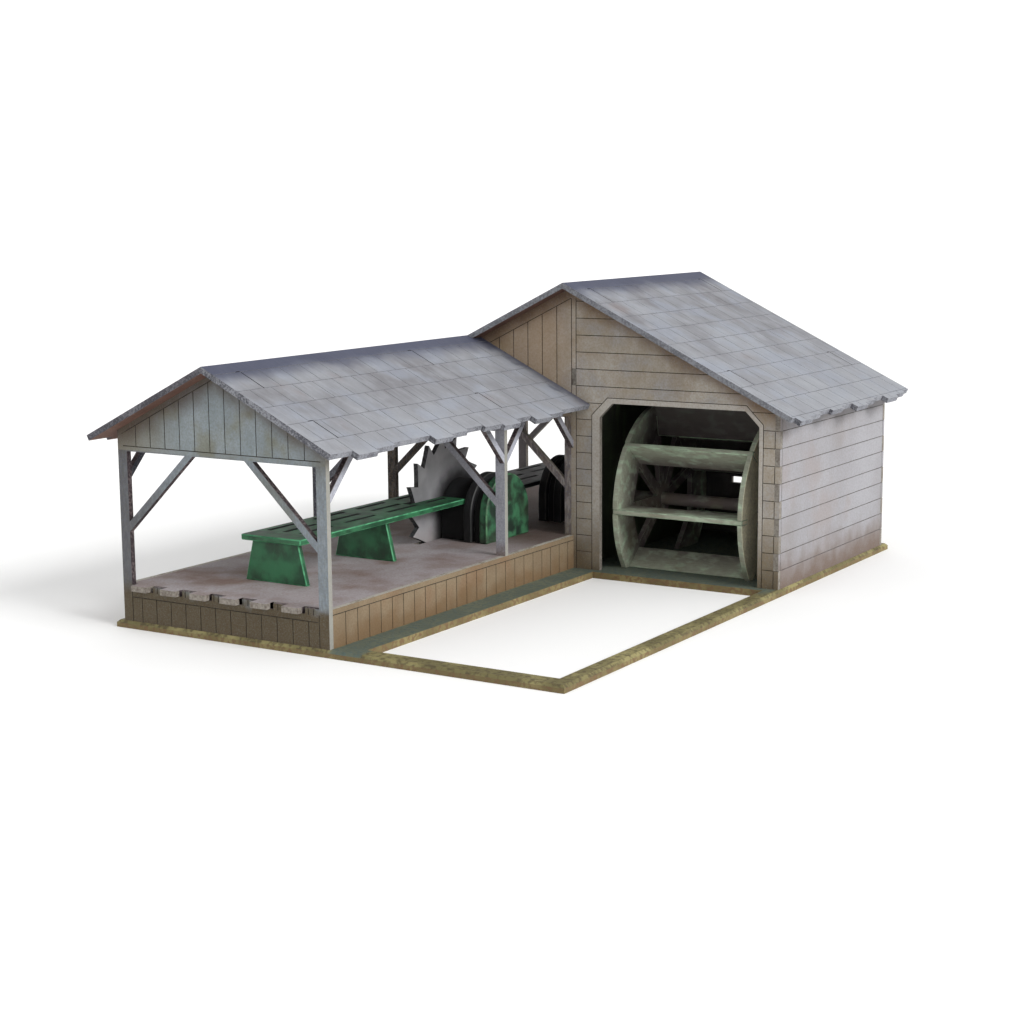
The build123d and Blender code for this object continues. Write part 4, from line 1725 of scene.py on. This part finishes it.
def mix_paints() -> Paints:
    """Builds every material of the model.

    Returns:
        The paints.
    """
    roofs, tabs = roof_coats()
    shed_low, shed_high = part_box("front_frame")
    block_low, block_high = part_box("block_front_wall")
    ridge = (block_low.x + block_high.x) / 2
    shed_roof = RoofLine((shed_low.x + shed_high.x) / 2, shed_high.z)
    block_roof = RoofLine(ridge, block_high.z)
    trim = Trim(ridge + Walls.trim_left, ridge + Walls.trim_right, Walls.trim_top, Walls.trim_slant)
    line = CutEdge("engraved_line", srgb(46, 40, 33), srgb(74, 66, 52), 0.35).build()
    faint = CutEdge("faint_line", srgb(78, 72, 70), srgb(112, 108, 106), 0.5).build()
    # The cream colour on the right post's outer edge is painted light.
    post_edge = CutEdge("post_edge", srgb(60, 50, 54), srgb(112, 100, 100), 0.35, 0.9,
                        srgb(150, 150, 142), shed_high.x - 0.1 * MM).build()
    wall_edge = CutEdge("wall_edge", srgb(98, 90, 82), srgb(140, 135, 127), 0.55, softness=0.2,
                        grit_mm=0.06).build()
    # Dark paint on the inner faces of the front, side and back walls: painted shade.
    shaded_inside = WeatheredPaint("shaded_inside_paint", srgb(96, 90, 92), srgb(116, 110, 112), srgb(70, 64, 62),
                            srgb(58, 56, 46), foot_to_mm=40.0).build()
    brown_inside = WeatheredPaint("back_paint", srgb(84, 78, 80), srgb(106, 102, 104), srgb(64, 52, 50),
                                  srgb(84, 70, 56)).build()
    shed_left = {"axis": "X", "full_at": shed_low.x, "none_at": shed_low.x + 34 * MM}
    # The second colour of each PostPaint is painted shade on the left-hand posts.
    gable = WeatheredPaint(
        "gable_paint", srgb(128, 138, 143), srgb(144, 153, 158), srgb(98, 96, 82), srgb(76, 63, 42),
        foot_from_mm=13.0, foot_to_mm=20.0, foot_strength=1.0, roof=shed_roof, patch=srgb(118, 116, 94),
        cloud_mm=14.0, left=Tint(srgb(116, 110, 92), **shed_left),
        post=PostPaint(srgb(118, 126, 134), srgb(80, 80, 86)))
    # The frame paint's dark blue-grey towards the shed's left side, and its posts' dark colour, are painted shade.
    frame = WeatheredPaint(
        "frame_paint", srgb(112, 114, 122), srgb(176, 178, 188), srgb(86, 80, 80), srgb(110, 82, 62),
        foot_from_mm=14.0, foot_to_mm=22.0, speckle=0.35, left=Tint(srgb(70, 70, 80), **shed_left),
        post=PostPaint(srgb(158, 160, 170), srgb(62, 64, 74)))
    skirt = WeatheredPaint(
        "skirt_paint", srgb(118, 102, 80), srgb(138, 122, 98), srgb(92, 72, 50), srgb(108, 82, 50),
        foot_to_mm=11.0, foot_strength=0.7, patch=srgb(124, 96, 70))
    floor = WeatheredPaint(
        "floor_paint", srgb(154, 147, 149), srgb(168, 164, 168), srgb(108, 78, 62), srgb(148, 140, 138),
        streak=(1.0, 0.2, 1.0), stain_strength=0.95, foot_strength=0.0, patch=srgb(128, 112, 106),
        far=Tint(srgb(70, 54, 45), "Y", -24 * MM, 14 * MM, 0.9, 14.0))
    # The block front wall's posts fade to near-black towards its left end: painted shade under the shed roof.
    front_wall = WeatheredPaint(
        "front_wall_paint", srgb(154, 146, 134), srgb(180, 176, 170), srgb(128, 106, 72), srgb(88, 75, 50),
        foot_to_mm=30.0, foot_strength=0.85, stain_strength=0.65, roof=block_roof, roof_shade=srgb(88, 64, 50),
        roof_reach_mm=9.0, patch=srgb(146, 146, 148), cloud_mm=17.0,
        left=Tint(srgb(158, 136, 112), "X", ridge + 8 * MM, ridge - 12 * MM),
        post=PostPaint(srgb(108, 102, 108), srgb(30, 29, 36), end=ridge, fade=block_low.x + 20 * MM))
    back_wall = replace(front_wall, name="back_wall_paint", post=replace(front_wall.post, fade=-1.0))
    side_wall = WeatheredPaint(
        "side_wall_paint", srgb(144, 143, 147), srgb(159, 159, 164), srgb(122, 116, 112), srgb(94, 73, 57),
        foot_to_mm=19.0, foot_strength=0.9, stain_strength=0.5, streak_strength=0.15, cloud_mm=30.0,
        patch=srgb(142, 133, 131))
    # Dark olive on the wheel house's inner wall: painted shade within the house, over a green wall colour.
    inner_wall = WeatheredPaint(
        "inner_wall_paint", srgb(56, 58, 48), srgb(76, 92, 62), srgb(40, 40, 36), srgb(58, 66, 44),
        foot_to_mm=40.0, streak_strength=0.7)
    skirt_edge = CutEdge("skirt_edge", srgb(120, 110, 96), srgb(170, 166, 156), 0.8)
    floor_edge = CutEdge("floor_edge", srgb(92, 82, 72), srgb(146, 140, 132), 0.6, softness=0.2, grit_mm=0.05)
    # Near-black slot walls in the bench top: painted shade.
    bench_slot_shade = MachinePaint("bench_slot_shade", srgb(16, 22, 20), srgb(34, 40, 38), srgb(20, 18, 18), 0.4)
    return Paints(
        roofs=roofs,
        tabs=tabs,
        gable=Coat(gable.build(), line, post_edge, brown_inside),
        frame=Coat(frame.build(), line, post_edge, brown_inside),
        rail=Coat(frame.build(), line, post_edge),
        skirt=Coat(skirt.build(), line, skirt_edge.build()),
        floor=Coat(floor.build(), line, floor_edge.build()),
        front_wall=Coat(replace(front_wall, trim=trim).build(), line, wall_edge, shaded_inside),
        side_wall=Coat(side_wall.build(), faint, wall_edge, shaded_inside),
        back_wall=Coat(back_wall.build(), line, wall_edge, shaded_inside),
        inner_wall=Coat(inner_wall.build(), line, wall_edge),
        base=base_coat(),
        blade=blade_coat(),
        brushes=machine_brushes(),
        bench_slot_shade=bench_slot_shade.build())


def main() -> None:
    """Loads the frame and dresses the sawmill in order."""
    logging.basicConfig(level=logging.INFO, format="%(name)s: %(message)s")
    FRAME.update(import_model())
    paints = mix_paints()
    engraver = Engraver()
    Roofs().dress(engraver, paints)
    Walls().dress(engraver, paints)
    Ground().dress(engraver, paints)
    Machinery().dress(engraver, paints)
    Studio().set_up()


if __name__ == "__main__":
    main()
